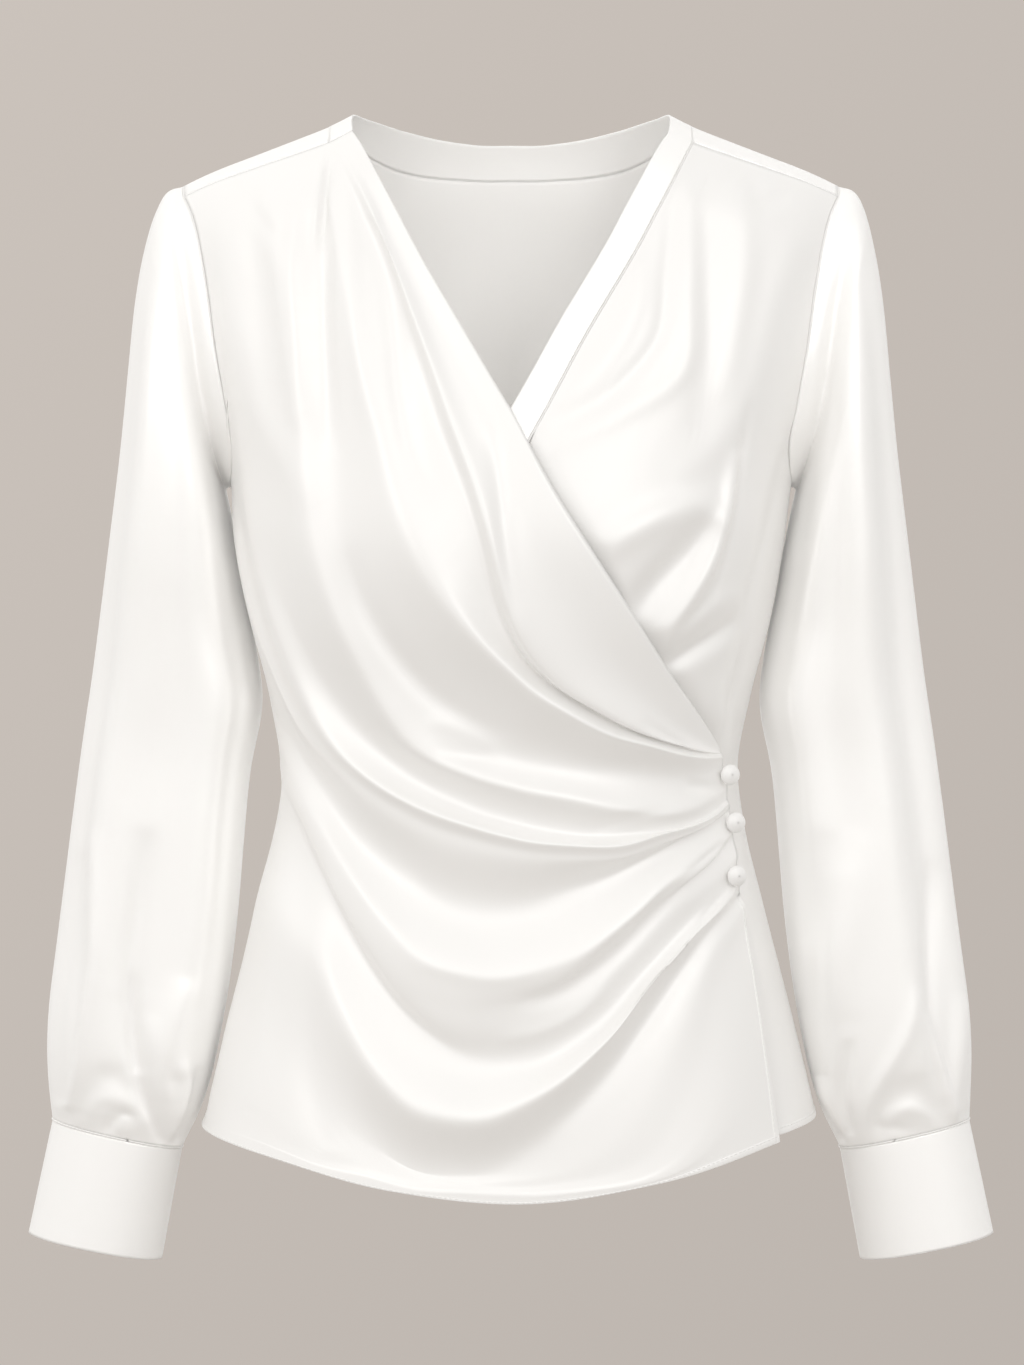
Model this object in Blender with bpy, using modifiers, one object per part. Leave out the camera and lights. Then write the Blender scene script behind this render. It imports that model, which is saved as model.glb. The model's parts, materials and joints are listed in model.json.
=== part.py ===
"""A wrap blouse, hollow and filled out with no wearer. Metres, +Z up, the front faces -Y, origin between
the shoulder neck points. Every panel is an open sheet on one body form, thickened inwards."""

import math

import bpy
import numpy as np

NAME = "wrap_blouse"
MM = 0.001
WALL = 0.0012            # cloth with its seam allowances
SEAM = 0.0004            # gap left between sewn pieces
LIFT = 0.0034            # how far the overlap lies above the underlap's face
ROLL = 0.055             # height over which a shoulder rounds down
ROUND = 2.3              # squareness of the body's rings
GIRTH = 0.13             # metres along a panel for each radian round the body
ARM_ROWS = 11            # rows along each armhole, from forward seam or crest to underarm
CREST_ROWS = 3           # rows from the forward seam up to the crest
SIDE_ROWS = 11           # rows from underarm to hem
UNDER_ROWS = 16          # rows of the underlap down its neck edge
UNDER_COLUMNS = 24       # columns of the underlap
FAR_COLUMNS = 19         # columns of the overlap from the side seam to the gathered end
STEEP = 0.4              # how far height counts in spacing those columns
SHOULDER_COLUMNS = 5     # columns of the back along each forward seam
TUBE_SIDES = 28          # points round a cuff
HALF = math.pi / 2
SIDE = GIRTH * HALF      # the side seam's place round the form
SHOULDER_GAP = 0.00064   # gap along the forward shoulder seams
ARM_GAP = 0.00088        # gap between armhole and sleeve
BAND_GAP = 0.00068       # gap between neckband and panels
HEM_OUT = 0.0003         # how far the overlap's hem stands out
UNDER_HEM = 0.0028       # how much shorter the underlap hangs
FAR_EDGE = 0.9945        # how near the underlap comes to the far side seam
FAR_FOOT = -0.5850       # height of its far lower corner

# Body rings: height, half width, front depth, back depth
BODY = (
    (-0.640, 0.1900, 0.119, 0.115),
    (-0.587, 0.1797, 0.117, 0.113),
    (-0.531, 0.1664, 0.112, 0.107),
    (-0.460, 0.1480, 0.104, 0.097),
    (-0.413, 0.1369, 0.099, 0.090),
    (-0.380, 0.1335, 0.099, 0.088),
    (-0.342, 0.1404, 0.105, 0.092),
    (-0.295, 0.1525, 0.115, 0.099),
    (-0.250, 0.1605, 0.119, 0.105),
    (-0.208, 0.1665, 0.113, 0.108),
    (-0.169, 0.1777, 0.105, 0.108),
    (-0.140, 0.1856, 0.098, 0.106),
    (-0.102, 0.1927, 0.087, 0.099),
    (-0.063, 0.2000, 0.073, 0.088),
    (-0.038, 0.2060, 0.064, 0.078),
    (0.040, 0.2060, 0.052, 0.060),
)

# Shoulder crest: distance from the middle, height
CREST = (
    (0.000, 0.0340),
    (0.030, 0.0305),
    (0.060, 0.0200),
    (0.0800, 0.0100),
    (0.0926, 0.0028),
    (0.1065, -0.0042),
    (0.1260, -0.0120),
    (0.1510, -0.0215),
    (0.1776, -0.0318),
    (0.1918, -0.0385),
    (0.2100, -0.0500),
)

# Front armhole: distance from the middle, height, from under the forward seam to the side
ARMHOLE_FRONT = (
    (0.1852, -0.0607),
    (0.1765, -0.1000),
    (0.1707, -0.1404),
    (0.1652, -0.1721),
    (0.1612, -0.1950),
    (0.1624, -0.2090),
)
ARMHOLE_BACK = (
    (0.1890, -0.0607),
    (0.1835, -0.1000),
    (0.1780, -0.1404),
    (0.1720, -0.1721),
    (0.1665, -0.2000),
    (0.1640, -0.2100),
)
ARM_TOP = 0.1915         # armhole's distance from the middle at the shoulder
UNDERARM = -0.2165       # height of the armhole's foot

# Band round the back neck, one half: inner x, inner distance over the crest, then the same of the outer edge
NECK = (
    (0.0000, -0.0707, 0.0000, -0.0919),
    (0.0225, -0.0682, 0.0225, -0.0897),
    (0.0435, -0.0599, 0.0440, -0.0829),
    (0.0640, -0.0455, 0.0650, -0.0710),
    (0.0780, -0.0305, 0.0820, -0.0550),
    (0.0875, -0.0150, 0.0960, -0.0340),
    (0.0922, 0.0010, 0.1035, -0.0120),
    (0.0930, 0.0110, 0.1060, 0.0020),
    (0.0932, 0.0220, 0.1066, 0.0150),
    (0.0928, 0.0315, 0.1066, 0.0275),
    (0.0920, 0.0400, 0.1063, 0.0400),
)
# Underlap's neck edge: inner x and height of the band, outer x and height
NECK_FRONT = (
    (0.0920, -0.0122, 0.1063, -0.0186),
    (0.0831, -0.0262, 0.0990, -0.0330),
    (0.0700, -0.0510, 0.0870, -0.0570),
    (0.0576, -0.0752, 0.0740, -0.0820),
    (0.0277, -0.1271, 0.0450, -0.1320),
    (0.0006, -0.1761, 0.0160, -0.1860),
    (-0.0396, -0.2467, -0.0260, -0.2590),
    (-0.0852, -0.3135, -0.0730, -0.3290),
    (-0.1250, -0.3610, -0.1180, -0.3800),
)

# Free and gathered edge of the overlap: height, x
EDGE = (
    (-0.5939, 0.1505),
    (-0.5477, 0.1435),
    (-0.5025, 0.1365),
    (-0.4600, 0.1307),
    (-0.4439, 0.1267),
    (-0.4286, 0.1262),
    (-0.4143, 0.1249),
    (-0.3986, 0.1222),
    (-0.3853, 0.1207),
    (-0.3707, 0.1180),
)

# Overlap's neckline and free edge together, as height and x, which the underlap's folds keep clear of
NECK_LINE = (
    (-0.6230, 0.1560),
    (-0.4600, 0.1307),
    (-0.3707, 0.1180),
    (-0.3040, 0.0748),
    (-0.2428, 0.0352),
    (-0.1744, -0.0028),
    (-0.1037, -0.0436),
    (-0.0200, -0.0924),
)

# Hem: degrees round the body from its middle, height. The front dips more than the back.
HEM_FRONT = (
    (-90, -0.5870), (-45, -0.6021), (-21, -0.6165), (2, -0.6230), (26, -0.6130), (56, -0.5942), (90, -0.5870))
HEM_BACK = ((-90, -0.5870), (-45, -0.5990), (0, -0.6090), (45, -0.5990), (90, -0.5870))

# Drape of the overlap, in millimetres. Each fold: name, rows to the next fold, how far it stands out at the
# shoulder, chest, middle and gathered end, x at the shoulder seam, then x and height of points along it.
SHOULDER_FOLDS = (
    ("neck edge", 2, (0, 0, 0, 0), -92.4,
     ((-43.6, -103.7), (-2.8, -174.4), (35.2, -242.8), (74.8, -304.0), (118.0, -370.7))),
    ("edge groove", 2, (-1, -1, -0.5, 0), -97.5,
     ((-45.8, -122.4), (-6.1, -202.8), (27.4, -277.4), (72.8, -336.1), (118.4, -372.6))),
    ("edge ridge", 2, (0.5, 3, 3, 0.2), -103.5,
     ((-50.8, -138.6), (-17.3, -224.3), (5.6, -305.3), (60.4, -352.0), (118.7, -374.5))),
    ("edge valley", 2, (0, -1, -1, 0), -109.5,
     ((-57.9, -141.5), (-25.8, -227.3), (-2.4, -308.1), (55.9, -358.5), (119.0, -376.4))),
    ("first drape", 2, (0, 1.5, 8, 0.8), -118.0,
     ((-76.6, -169.8), (-41.3, -258.9), (-3.3, -312.9), (48.2, -356.1), (119.4, -378.4))),
    ("first trough", 2, (-0.5, -0.5, -1, -0.2), -131.0,
     ((-102.3, -177.8), (-80.3, -263.1), (-23.0, -320.4), (50.2, -367.7), (120.0, -382.0))),
    ("second drape", 2, (0.5, 2.5, 8, 0.8), -146.0,
     ((-124.3, -188.5), (-97.5, -269.6), (-48.4, -360.9), (36.1, -385.2), (120.9, -388.0))),
    ("second trough", 2, (-0.5, -0.5, -1, -0.2), -161.0,
     ((-138.3, -194.5), (-112.7, -276.7), (-69.5, -359.3), (27.7, -403.8), (121.3, -393.5))),
    ("third drape", 2, (0, 1, 9, 1), -176.0,
     ((-150.5, -214.0), (-134.2, -300.6), (-71.3, -377.4), (27.6, -421.8), (121.9, -399.2))),
)
SIDE_FOLDS = (
    ("third slope", 1, (0, 0, 2, 0.2), 0,
     ((-164.5, -216.5), (-143.8, -295.8), (-118.0, -348.8), (-67.3, -401.2), (22.0, -434.1),
      (122.2, -401.8))),
    ("third trough", 2, (0, 0, -1, -0.2), 0,
     ((-159.3, -242.9), (-144.4, -307.2), (-116.3, -366.0), (-62.7, -422.0), (16.3, -446.4),
      (122.5, -404.6))),
    ("fourth drape", 2, (0, 0.5, 8, 1), 0,
     ((-149.3, -312.7), (-127.0, -371.0), (-103.2, -414.8), (-56.9, -457.8), (19.1, -458.7),
      (123.6, -409.5))),
    ("fourth slope", 1, (0, 0, 1.5, 0), 0,
     ((-138.0, -352.0), (-124.0, -393.7), (-91.2, -446.6), (-34.2, -490.5), (50.1, -476.8), (125.2, -418.4))),
    ("low ridge", 2, (0, 0, 3, 1), 0,
     ((-134.2, -372.0), (-124.5, -409.0), (-88.0, -461.0), (-23.0, -509.9), (44.4, -503.4), (126.0, -430.0))),
    ("fifth trough", 2, (0, 0, -1, -0.2), 0,
     ((-134.5, -392.0), (-124.0, -432.0), (-77.0, -487.0), (-11.7, -533.3), (55.6, -525.8), (126.4, -439.0))),
    ("fifth drape", 2, (0, 0.5, 7, 0.8), 0,
     ((-139.0, -424.0), (-114.0, -472.0), (-62.3, -521.4), (-6.1, -559.0), (64.1, -540.4), (127.0, -446.5))),
    ("hem trough", 2, (0, 0, -1, 0), 0,
     ((-155.0, -485.6), (-125.4, -540.4), (-79.1, -580.1), (-20.1, -591.0), (57.6, -558.6), (128.6, -453.5))),
    ("hem ridge", 1, (0, 0, 2.5, 1), 0,
     ((-165.0, -523.1), (-137.0, -563.8), (-84.7, -596.2), (-6.1, -601.7), (75.4, -567.3), (130.7, -461.0))),
    ("hem slope", 2, (0, 0, 0, -0.4), 0,
     ((-171.2, -549.5), (-139.8, -579.5), (-79.0, -604.2), (-0.5, -609.7), (86.6, -579.4), (133.6, -480.0))),
    ("hem fan", 2, (0, 0, 1, 1.5), 0,
     ((-174.9, -569.1), (-141.5, -590.0), (-76.2, -609.7), (2.3, -616.4), (86.5, -596.9), (140.7, -531.0))),
)

# Soft folds elsewhere, in millimetres: half width, how far they stand out, then x and height of points
UNDERLAP_FOLDS = (
    (13, 4.0, ((128, 0), (122, -70), (96, -145), (60, -190))),
    (11, -2.5, ((112, 0), (106, -80), (80, -135), (42, -185))),
    (15, -4.0, ((40, -270), (80, -252), (112, -232), (150, -190))),
    (12, 4.5, ((76, -310), (104, -285), (120, -258), (132, -215), (140, -170))),
    (11, -3.0, ((92, -328), (116, -306), (132, -284), (150, -235))),
    (11, 3.0, ((108, -362), (124, -335), (136, -308), (154, -255))),
    (14, 3.5, ((150, 0), (144, -90), (142, -200))),
    (12, -2.5, ((164, -20), (156, -110), (150, -190), (146, -260))),
    (11, -2.5, ((132, -440), (146, -520), (160, -620))),
)
BACK_FOLDS = (
    (13, 3.5, ((-70, -60), (-62, -160), (-60, -270), (-48, -350))),
    (12, -4.0, ((-38, -50), (-34, -150), (-38, -260), (-30, -340))),
    (13, 3.0, ((4, -70), (8, -180), (0, -300), (6, -380))),
    (12, -3.5, ((44, -45), (42, -150), (46, -260), (34, -350))),
    (13, 3.5, ((80, -60), (72, -170), (66, -280), (52, -360))),
    (12, -3.0, ((112, -80), (106, -170), (112, -260))),
    (12, -3.0, ((-116, -80), (-110, -170), (-116, -250))),
    (15, 6.0, ((-70, -370), (-82, -450), (-98, -540), (-106, -600))),
    (14, -4.5, ((-40, -360), (-46, -450), (-56, -540), (-60, -608))),
    (15, 6.5, ((-10, -380), (-10, -460), (-14, -550), (-16, -612))),
    (14, -4.5, ((22, -365), (26, -450), (32, -540), (34, -612))),
    (15, 6.0, ((56, -370), (64, -450), (78, -540), (86, -606))),
    (13, -3.5, ((90, -380), (104, -450), (120, -540), (128, -600))),
)

# Sleeve rings: outer x and height, inner x and height, front depth, back depth
SLEEVE = (
    (0.2040, -0.0500, 0.1683, -0.2190, 0.044, 0.050),
    (0.2125, -0.0720, 0.1680, -0.2240, 0.050, 0.057),
    (0.2195, -0.1060, 0.1676, -0.2310, 0.056, 0.063),
    (0.2250, -0.1520, 0.1660, -0.2410, 0.060, 0.066),
    (0.2302, -0.1980, 0.1632, -0.2560, 0.060, 0.066),
    (0.2362, -0.2460, 0.1590, -0.2800, 0.057, 0.063),
    (0.2418, -0.2900, 0.1533, -0.3100, 0.052, 0.057),
    (0.2468, -0.3280, 0.1497, -0.3450, 0.048, 0.052),
    (0.2522, -0.3640, 0.1533, -0.3830, 0.045, 0.049),
    (0.2577, -0.4050, 0.1572, -0.4240, 0.044, 0.047),
    (0.2630, -0.4470, 0.1606, -0.4660, 0.043, 0.046),
    (0.2682, -0.4880, 0.1655, -0.5070, 0.042, 0.045),
    (0.2722, -0.5200, 0.1708, -0.5380, 0.041, 0.044),
    (0.2735, -0.5460, 0.1762, -0.5630, 0.039, 0.042),
    (0.2726, -0.5680, 0.1835, -0.5850, 0.035, 0.038),
    (0.2704, -0.5882, 0.1937, -0.6052, 0.028, 0.031),
)
SLEEVE_TRIM = {1: 0.0035, -1: 0.0}    # how much straighter the outer edge hangs, wearer's left then right
CUFF_TOP = (0.2702, -0.5890, 0.1941, -0.6060, 0.028, 0.031)
CUFF_FOOT = (0.2844, -0.6555, 0.2060, -0.6712, 0.029, 0.032)
TUBE_ROUND = 2.2
ARM_RADIUS = 0.042       # a sleeve's usual radius, which turns degrees into widths

# Sleeve folds: degrees round from the outer edge by way of the front at the top and foot of the fold, where
# along the sleeve it starts and ends (0 to 1), half width and how far it stands out in millimetres
SLEEVE_FOLDS = (
    (40, 52, 0.10, 0.62, 11, 3.0),
    (75, 82, 0.14, 0.75, 11, -3.0),
    (104, 112, 0.12, 0.60, 11, 3.0),
    (30, 28, 0.55, 0.97, 9, 3.5),
    (58, 62, 0.60, 0.99, 9, -3.0),
    (88, 84, 0.66, 0.99, 8, 3.5),
    (118, 116, 0.60, 0.99, 9, -3.5),
    (142, 140, 0.62, 0.98, 9, 3.0),
    (215, 222, 0.15, 0.60, 12, 3.0),
    (250, 246, 0.20, 0.70, 12, -3.0),
    (285, 290, 0.12, 0.62, 12, 3.0),
    (212, 208, 0.66, 0.98, 9, -3.0),
    (244, 248, 0.62, 0.99, 9, 3.5),
    (276, 274, 0.64, 0.99, 9, -3.5),
    (312, 314, 0.62, 0.98, 9, 3.0),
)

# Buttons: x and height of the foot, which stands on the overlap's gathered edge
BUTTONS = ((0.1192, -0.3850), (0.1225, -0.4135), (0.1232, -0.4443))
BUTTON_RADIUS = 0.0059
BUTTON_HEIGHT = 0.0043
BUTTON_SIDES = 16
SHANK_FOOT = 0.0014      # radius of the shank where it is sewn on
SHANK_HEAD = 0.0016      # and where it meets the dome
BUTTON_TURN = 42         # degrees the face turns from the front towards the wearer's left
BUTTON_FOOT = 0.0050     # height of the shank's foot over the body form
BUTTON_STAND = 0.0028    # foot to the underside of the dome
# Button profile from the underside out: radius share, height in millimetres
BUTTON_PROFILE = ((0.62, 0.0), (0.92, 0.3), (1.0, 1.1), (0.93, 2.2), (0.70, 3.3), (0.38, 4.0))


def through(places, values, at):
    """Values on a smooth curve through the given ones."""
    places = np.asarray(places, float)
    values = np.asarray(values, float)
    slope = np.gradient(values, places)
    at = np.clip(at, places[0], places[-1])
    k = np.clip(np.searchsorted(places, at, side="right") - 1, 0, len(places) - 2)
    step = places[k + 1] - places[k]
    t = (at - places[k]) / step
    start = (1 + 2 * t) * (1 - t) ** 2 * values[k] + t * (1 - t) ** 2 * step * slope[k]
    end = t * t * (3 - 2 * t) * values[k + 1] + t * t * (t - 1) * step * slope[k + 1]
    return start + end


def column(table, number, at):
    return through([row[0] for row in table], [row[number] for row in table], at)


def along(points, shares, steep=1.0):
    """Points at these shares of the length of a smooth line through the given ones. Its second coordinate
    counts `steep` times in that length."""
    points = np.asarray(points, float)
    places = np.concatenate([[0], np.cumsum(np.linalg.norm(np.diff(points, axis=0), axis=1))])
    fine = np.linspace(0, places[-1], 300)
    line = np.stack([through(places, values, fine) for values in points.T], axis=1)
    steps = np.diff(line, axis=0) * [1, steep]
    length = np.concatenate([[0], np.cumsum(np.linalg.norm(steps, axis=1))])
    return np.stack([np.interp(np.asarray(shares) * length[-1], length, c) for c in line.T], axis=1)


def ease(t):
    t = np.clip(t, 0, 1)
    return t * t * (3 - 2 * t)


def crest(x):
    return column(CREST, 1, np.abs(x))


def over(x, z):
    """Distance down over the rounded shoulder of the point this far out at this height."""
    fall = np.maximum(crest(x) - z, 0)
    return ROLL * np.arccos(1 - np.minimum(fall / ROLL, 1)) + np.maximum(fall - ROLL, 0)


def place(around, down):
    """x and height of a point on the form: `around` in metres from its middle, `down` over the crest, which
    is positive on the front."""
    angle = np.minimum(np.abs(down) / ROLL, HALF)
    fall = ROLL * (1 - np.cos(angle)) + np.maximum(np.abs(down) - ROLL * HALF, 0)
    x = BODY[9][1] * np.sin(around / GIRTH)
    for _ in range(12):
        z = crest(x) - fall
        x = column(BODY, 1, z) * np.sin(around / GIRTH)
    return x, z, np.sin(angle)


def form(around, down):
    """Points of the body form."""
    x, z, rolled = place(around, down)
    share = np.minimum(np.abs(np.sin(around / GIRTH)), 1)
    depth = np.where(down > 0, column(BODY, 2, z), column(BODY, 3, z))
    y = -np.sign(down) * (SEAM / 2 + depth * (1 - share**ROUND) ** (1 / ROUND) * rolled)
    return np.stack([x, y, z], axis=-1)


def chart(x, z, face=1):
    """The form's two coordinates for a point given by x and height. Face 1 is the front."""
    z = np.asarray(z, float)
    around = GIRTH * np.arcsin(np.clip(x / column(BODY, 1, z), -1, 1))
    return np.stack([around, face * over(x, z)], axis=-1)


def raised(around, down, out):
    """Points of the form moved straight out from it."""
    limit = SIDE * 0.985
    inner = np.clip(around, -limit, limit)
    step = 0.002
    across = form(inner + step / 4, down) - form(inner - step / 4, down)
    drop = form(inner, down + step) - form(inner, down - step)
    normal = np.cross(drop, across)
    normal /= np.linalg.norm(normal, axis=-1, keepdims=True)
    return form(around, down) + normal * np.asarray(out)[..., None]


def fold_out(folds, x, z):
    """How far the soft folds of a table push a point out."""
    out = np.zeros(np.shape(x))
    for half_width, height, points in folds:
        line = along(np.array(points) * MM, np.linspace(0, 1, 40))
        gap = np.hypot(x[..., None] - line[:, 0], z[..., None] - line[:, 1])
        nearest = np.argmin(gap, axis=-1) / 39
        fade = np.sin(math.pi * nearest) ** 0.6
        out += height * MM * fade * np.exp(-((np.min(gap, axis=-1) / (half_width * MM)) ** 2))
    return out


def patch(top, foot, left, right):
    """A grid between four edges, each a row of points."""
    t = np.linspace(0, 1, len(left))[:, None, None]
    s = np.linspace(0, 1, len(top))[None, :, None]
    corners = (1 - t) * ((1 - s) * top[0] + s * top[-1]) + t * ((1 - s) * foot[0] + s * foot[-1])
    return (1 - t) * top + t * foot + (1 - s) * left[:, None] + s * right[:, None] - corners


def material(name, colour, roughness):
    made = bpy.data.materials.new(name)
    made.use_nodes = True
    shader = made.node_tree.nodes["Principled BSDF"]
    shader.inputs["Base Color"].default_value = (*colour, 1)
    shader.inputs["Roughness"].default_value = roughness
    shader.inputs["Sheen Weight"].default_value = 0.2
    return made


def satin(name):
    return material(f"satin_{name}", (0.93, 0.92, 0.90), 0.38)


def covered(name):
    return material(f"covered_{name}", (0.92, 0.91, 0.89), 0.42)


def collection(name):
    made = bpy.data.collections.new(name)
    bpy.context.scene.collection.children.link(made)
    return made


def add(name, points, faces, look, group):
    mesh = bpy.data.meshes.new(name)
    mesh.from_pydata([tuple(map(float, p)) for p in points], [], faces)
    mesh.materials.append(look)
    mesh.polygons.foreach_set("use_smooth", [True] * len(mesh.polygons))
    made = bpy.data.objects.new(name, mesh)
    group.objects.link(made)
    return made


def cloth(name, grid, core, group, keep=None, ring=False):
    """An open sheet from a grid of points, turned to face away from its core and thickened inwards."""
    rows, columns = grid.shape[:2]
    used = np.ones((rows, columns), bool) if keep is None else keep
    number = np.cumsum(used.reshape(-1)).reshape(rows, columns) - 1
    faces = []
    for i in range(rows - 1):
        for j in range(columns if ring else columns - 1):
            k = (j + 1) % columns
            corners = ((i, j), (i, k), (i + 1, k), (i + 1, j))
            if all(used[c] for c in corners):
                faces.append([int(number[c]) for c in corners])
    points = grid[used]
    centre = (core + np.zeros(grid.shape))[used]
    ends = points[np.array(faces)]
    normal = np.cross(ends[:, 2] - ends[:, 0], ends[:, 3] - ends[:, 1])
    if np.sum(normal * (ends.mean(axis=1) - centre[np.array(faces)].mean(axis=1))) < 0:
        faces = [face[::-1] for face in faces]
    made = add(name, points, faces, satin(name), group)
    shell = made.modifiers.new("wall", "SOLIDIFY")
    shell.thickness = WALL
    shell.offset = -1
    return made


def body_core(grid):
    """The middle of the body beside each point, lower at the shoulders so that their tops face up."""
    core = grid * [0.25, 0, 1]
    core[..., 2] = np.minimum(core[..., 2], -0.09)
    return core


def seam_down(x):
    """Distance of the forward shoulder seam over the crest."""
    return np.interp(np.abs(x), [0.1063, ARM_TOP], [0.040, 0.031])


def over_crest(xs, downs):
    """Chart points this far out and this far over the crest."""
    angle = np.minimum(np.abs(downs) / ROLL, HALF)
    z = crest(xs) - ROLL * (1 - np.cos(angle)) - np.maximum(np.abs(downs) - ROLL * HALF, 0)
    return np.stack([GIRTH * np.arcsin(xs / column(BODY, 1, z)), downs], axis=-1)


def shoulder_seam(xs, shift=0.0):
    """The forward shoulder seam as chart points, moved down the front by `shift`."""
    xs = np.asarray(xs, float)
    return over_crest(xs, seam_down(xs) + shift)


def armhole_front():
    """Chart points of the front armhole on the wearer's left, from the forward seam to the underarm."""
    marks = [chart(x, z) for x, z in ARMHOLE_FRONT]
    foot = chart(column(BODY, 1, UNDERARM), UNDERARM)
    return along([shoulder_seam([ARM_TOP])[0], *marks, foot], np.linspace(0, 1, ARM_ROWS + 1))


def armhole_back():
    """The rest of the armhole: over the crest from the forward seam and down the back to the underarm."""
    seam = shoulder_seam([ARM_TOP])[0]
    top = np.array([GIRTH * math.asin(0.1925 / 0.206), 0.0])
    rise = [seam + (top - seam) * i / CREST_ROWS for i in range(CREST_ROWS)]
    marks = [chart(x, z, -1) for x, z in ARMHOLE_BACK]
    foot = chart(column(BODY, 1, UNDERARM), UNDERARM, -1)
    return np.vstack([rise, along([top, *marks, foot], np.linspace(0, 1, ARM_ROWS + 1))])


def side_seam(rows, face):
    """Chart points down the side from the underarm to the hem, without the first."""
    z = np.linspace(UNDERARM, HEM_FRONT[0][1], rows + 1)[1:]
    return chart(column(BODY, 1, z), z, face)


def hem(around, face, lift=0.0):
    """Chart points of the hem at these places round the body."""
    degrees = np.degrees(around / GIRTH)
    z = column(HEM_FRONT if face > 0 else HEM_BACK, 1, degrees) + lift
    x = column(BODY, 1, z) * np.sin(around / GIRTH)
    return np.stack([around, face * over(x, z)], axis=-1)


def mirrored(points):
    return points * [-1, 1]


def back(group):
    """One panel from hem to the forward shoulder seams, cut round the neck."""
    neck = np.array(NECK)
    top = over_crest(neck[:, 2], neck[:, 3])
    shoulder = shoulder_seam(np.linspace(neck[-1, 0], ARM_TOP, SHOULDER_COLUMNS + 1)[1:])
    half = np.vstack([top, shoulder])
    top = np.vstack([mirrored(half)[:0:-1], half])
    right = np.vstack([armhole_back(), side_seam(SIDE_ROWS, -1)])
    foot = hem(np.linspace(-1, 1, len(top)) * SIDE, -1)
    grid = patch(top, foot, mirrored(right), right)
    x, z, _ = place(grid[..., 0], grid[..., 1])
    edge = ease((1 - np.abs(grid[..., 0]) / SIDE) / 0.12)
    out = fold_out(BACK_FOLDS, x, z) * edge * ease(-grid[..., 1] / 0.12 - 0.5)
    points = raised(grid[..., 0], grid[..., 1], out)
    return cloth("back", points, body_core(points), group)


def underlap_neck(rows):
    """Chart points of the seam between band and underlap, and of the band's inner edge."""
    inner = [chart(x, z) for x, z, _, _ in NECK_FRONT]
    outer = [chart(x, z) for _, _, x, z in NECK_FRONT]
    shares = np.linspace(0, 1, rows + 1)
    return along(inner, shares), along(outer, shares)


def underlap(group):
    """The front beneath: neck edge, then down the far side short of its seam, and the near side seam."""
    _, seam = underlap_neck(UNDER_ROWS)
    rows = ARM_ROWS + SIDE_ROWS
    z_end = NECK_FRONT[-1][3]
    below = rows - UNDER_ROWS
    far_z = np.linspace(z_end, FAR_FOOT, below + 1)[1:]
    far = chart(-column(BODY, 1, far_z) * FAR_EDGE, far_z)
    far[:, 0] = np.linspace(seam[-1, 0], far[-1, 0], below + 1)[1:]
    left = np.vstack([seam, far])
    right = np.vstack([armhole_front(), side_seam(SIDE_ROWS, 1)])
    left = left + [0, SEAM * 0.4]
    top = shoulder_seam(np.linspace(NECK[-1][2], ARM_TOP, UNDER_COLUMNS + 1), SHOULDER_GAP)
    left[0] = top[0]
    right[0] = top[-1]
    foot = hem(np.linspace(far[-1, 0], SIDE, len(top)), 1, UNDER_HEM)
    foot[-1] = right[-1]
    left[-1] = foot[0]
    grid = patch(top, foot, left, right)
    x, z, _ = place(grid[..., 0], grid[..., 1])
    edge = ease((SIDE - grid[..., 0]) / 0.03) * ease(grid[..., 1] / 0.04 - 1)
    out = fold_out(UNDERLAP_FOLDS, x, z) * edge
    shown = ease((x - column(NECK_LINE, 1, z)) / 0.045)
    out = np.where(out > 0, out * shown, out)
    points = raised(grid[..., 0], grid[..., 1], out)
    return cloth("front_underlap", points, body_core(points), group)


def neckband(group):
    """The strip round the back neck, over both shoulders and down the underlap's neck edge."""
    half = np.array(NECK)
    table = np.vstack([half[:0:-1] * [-1, 1, -1, 1], half])
    front_inner, front_outer = underlap_neck(2 * UNDER_ROWS)
    inner = np.vstack([over_crest(table[:, 0], table[:, 1]), front_inner[1:]])
    outer = np.vstack([over_crest(table[:, 2], table[:, 3]), front_outer[1:]])
    width = np.linalg.norm(outer - inner, axis=1)[:, None]
    outer = outer + (inner - outer) * BAND_GAP / width
    share = np.array([0, 0.5, 1])[None, :, None]
    grid = inner[:, None] * (1 - share) + outer[:, None] * share
    points = raised(grid[..., 0], grid[..., 1], np.zeros(grid.shape[:2]))
    return cloth("neckband", points, body_core(points), group)


def fold_line(fold, shares_top, shares_side):
    """Chart points along one fold and how far each stands out."""
    _, _, outs, seam_x, points = fold
    marks = [chart(x * MM, z * MM) for x, z in points]
    end_z = points[-1][1] * MM
    marks[-1] = chart(column(EDGE, 1, end_z), end_z)
    if seam_x:
        line = along([shoulder_seam([seam_x * MM], SHOULDER_GAP)[0], *marks], np.linspace(0, 1, 800))
        turn = np.argmin(np.linalg.norm(line - marks[0], axis=1))
        line = np.vstack([along(line[:turn + 1:8], shares_top), along(line[turn::8], shares_side, STEEP)[1:]])
    else:
        line = along(marks, shares_side, STEEP)
    count = len(shares_top) - 1
    stations = [0, count, count + len(shares_side) * 0.55, count + len(shares_side) - 1]
    out = np.interp(np.arange(count + len(shares_side)), stations, np.array(outs) * MM)
    return line, out if seam_x else out[count:]


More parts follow.
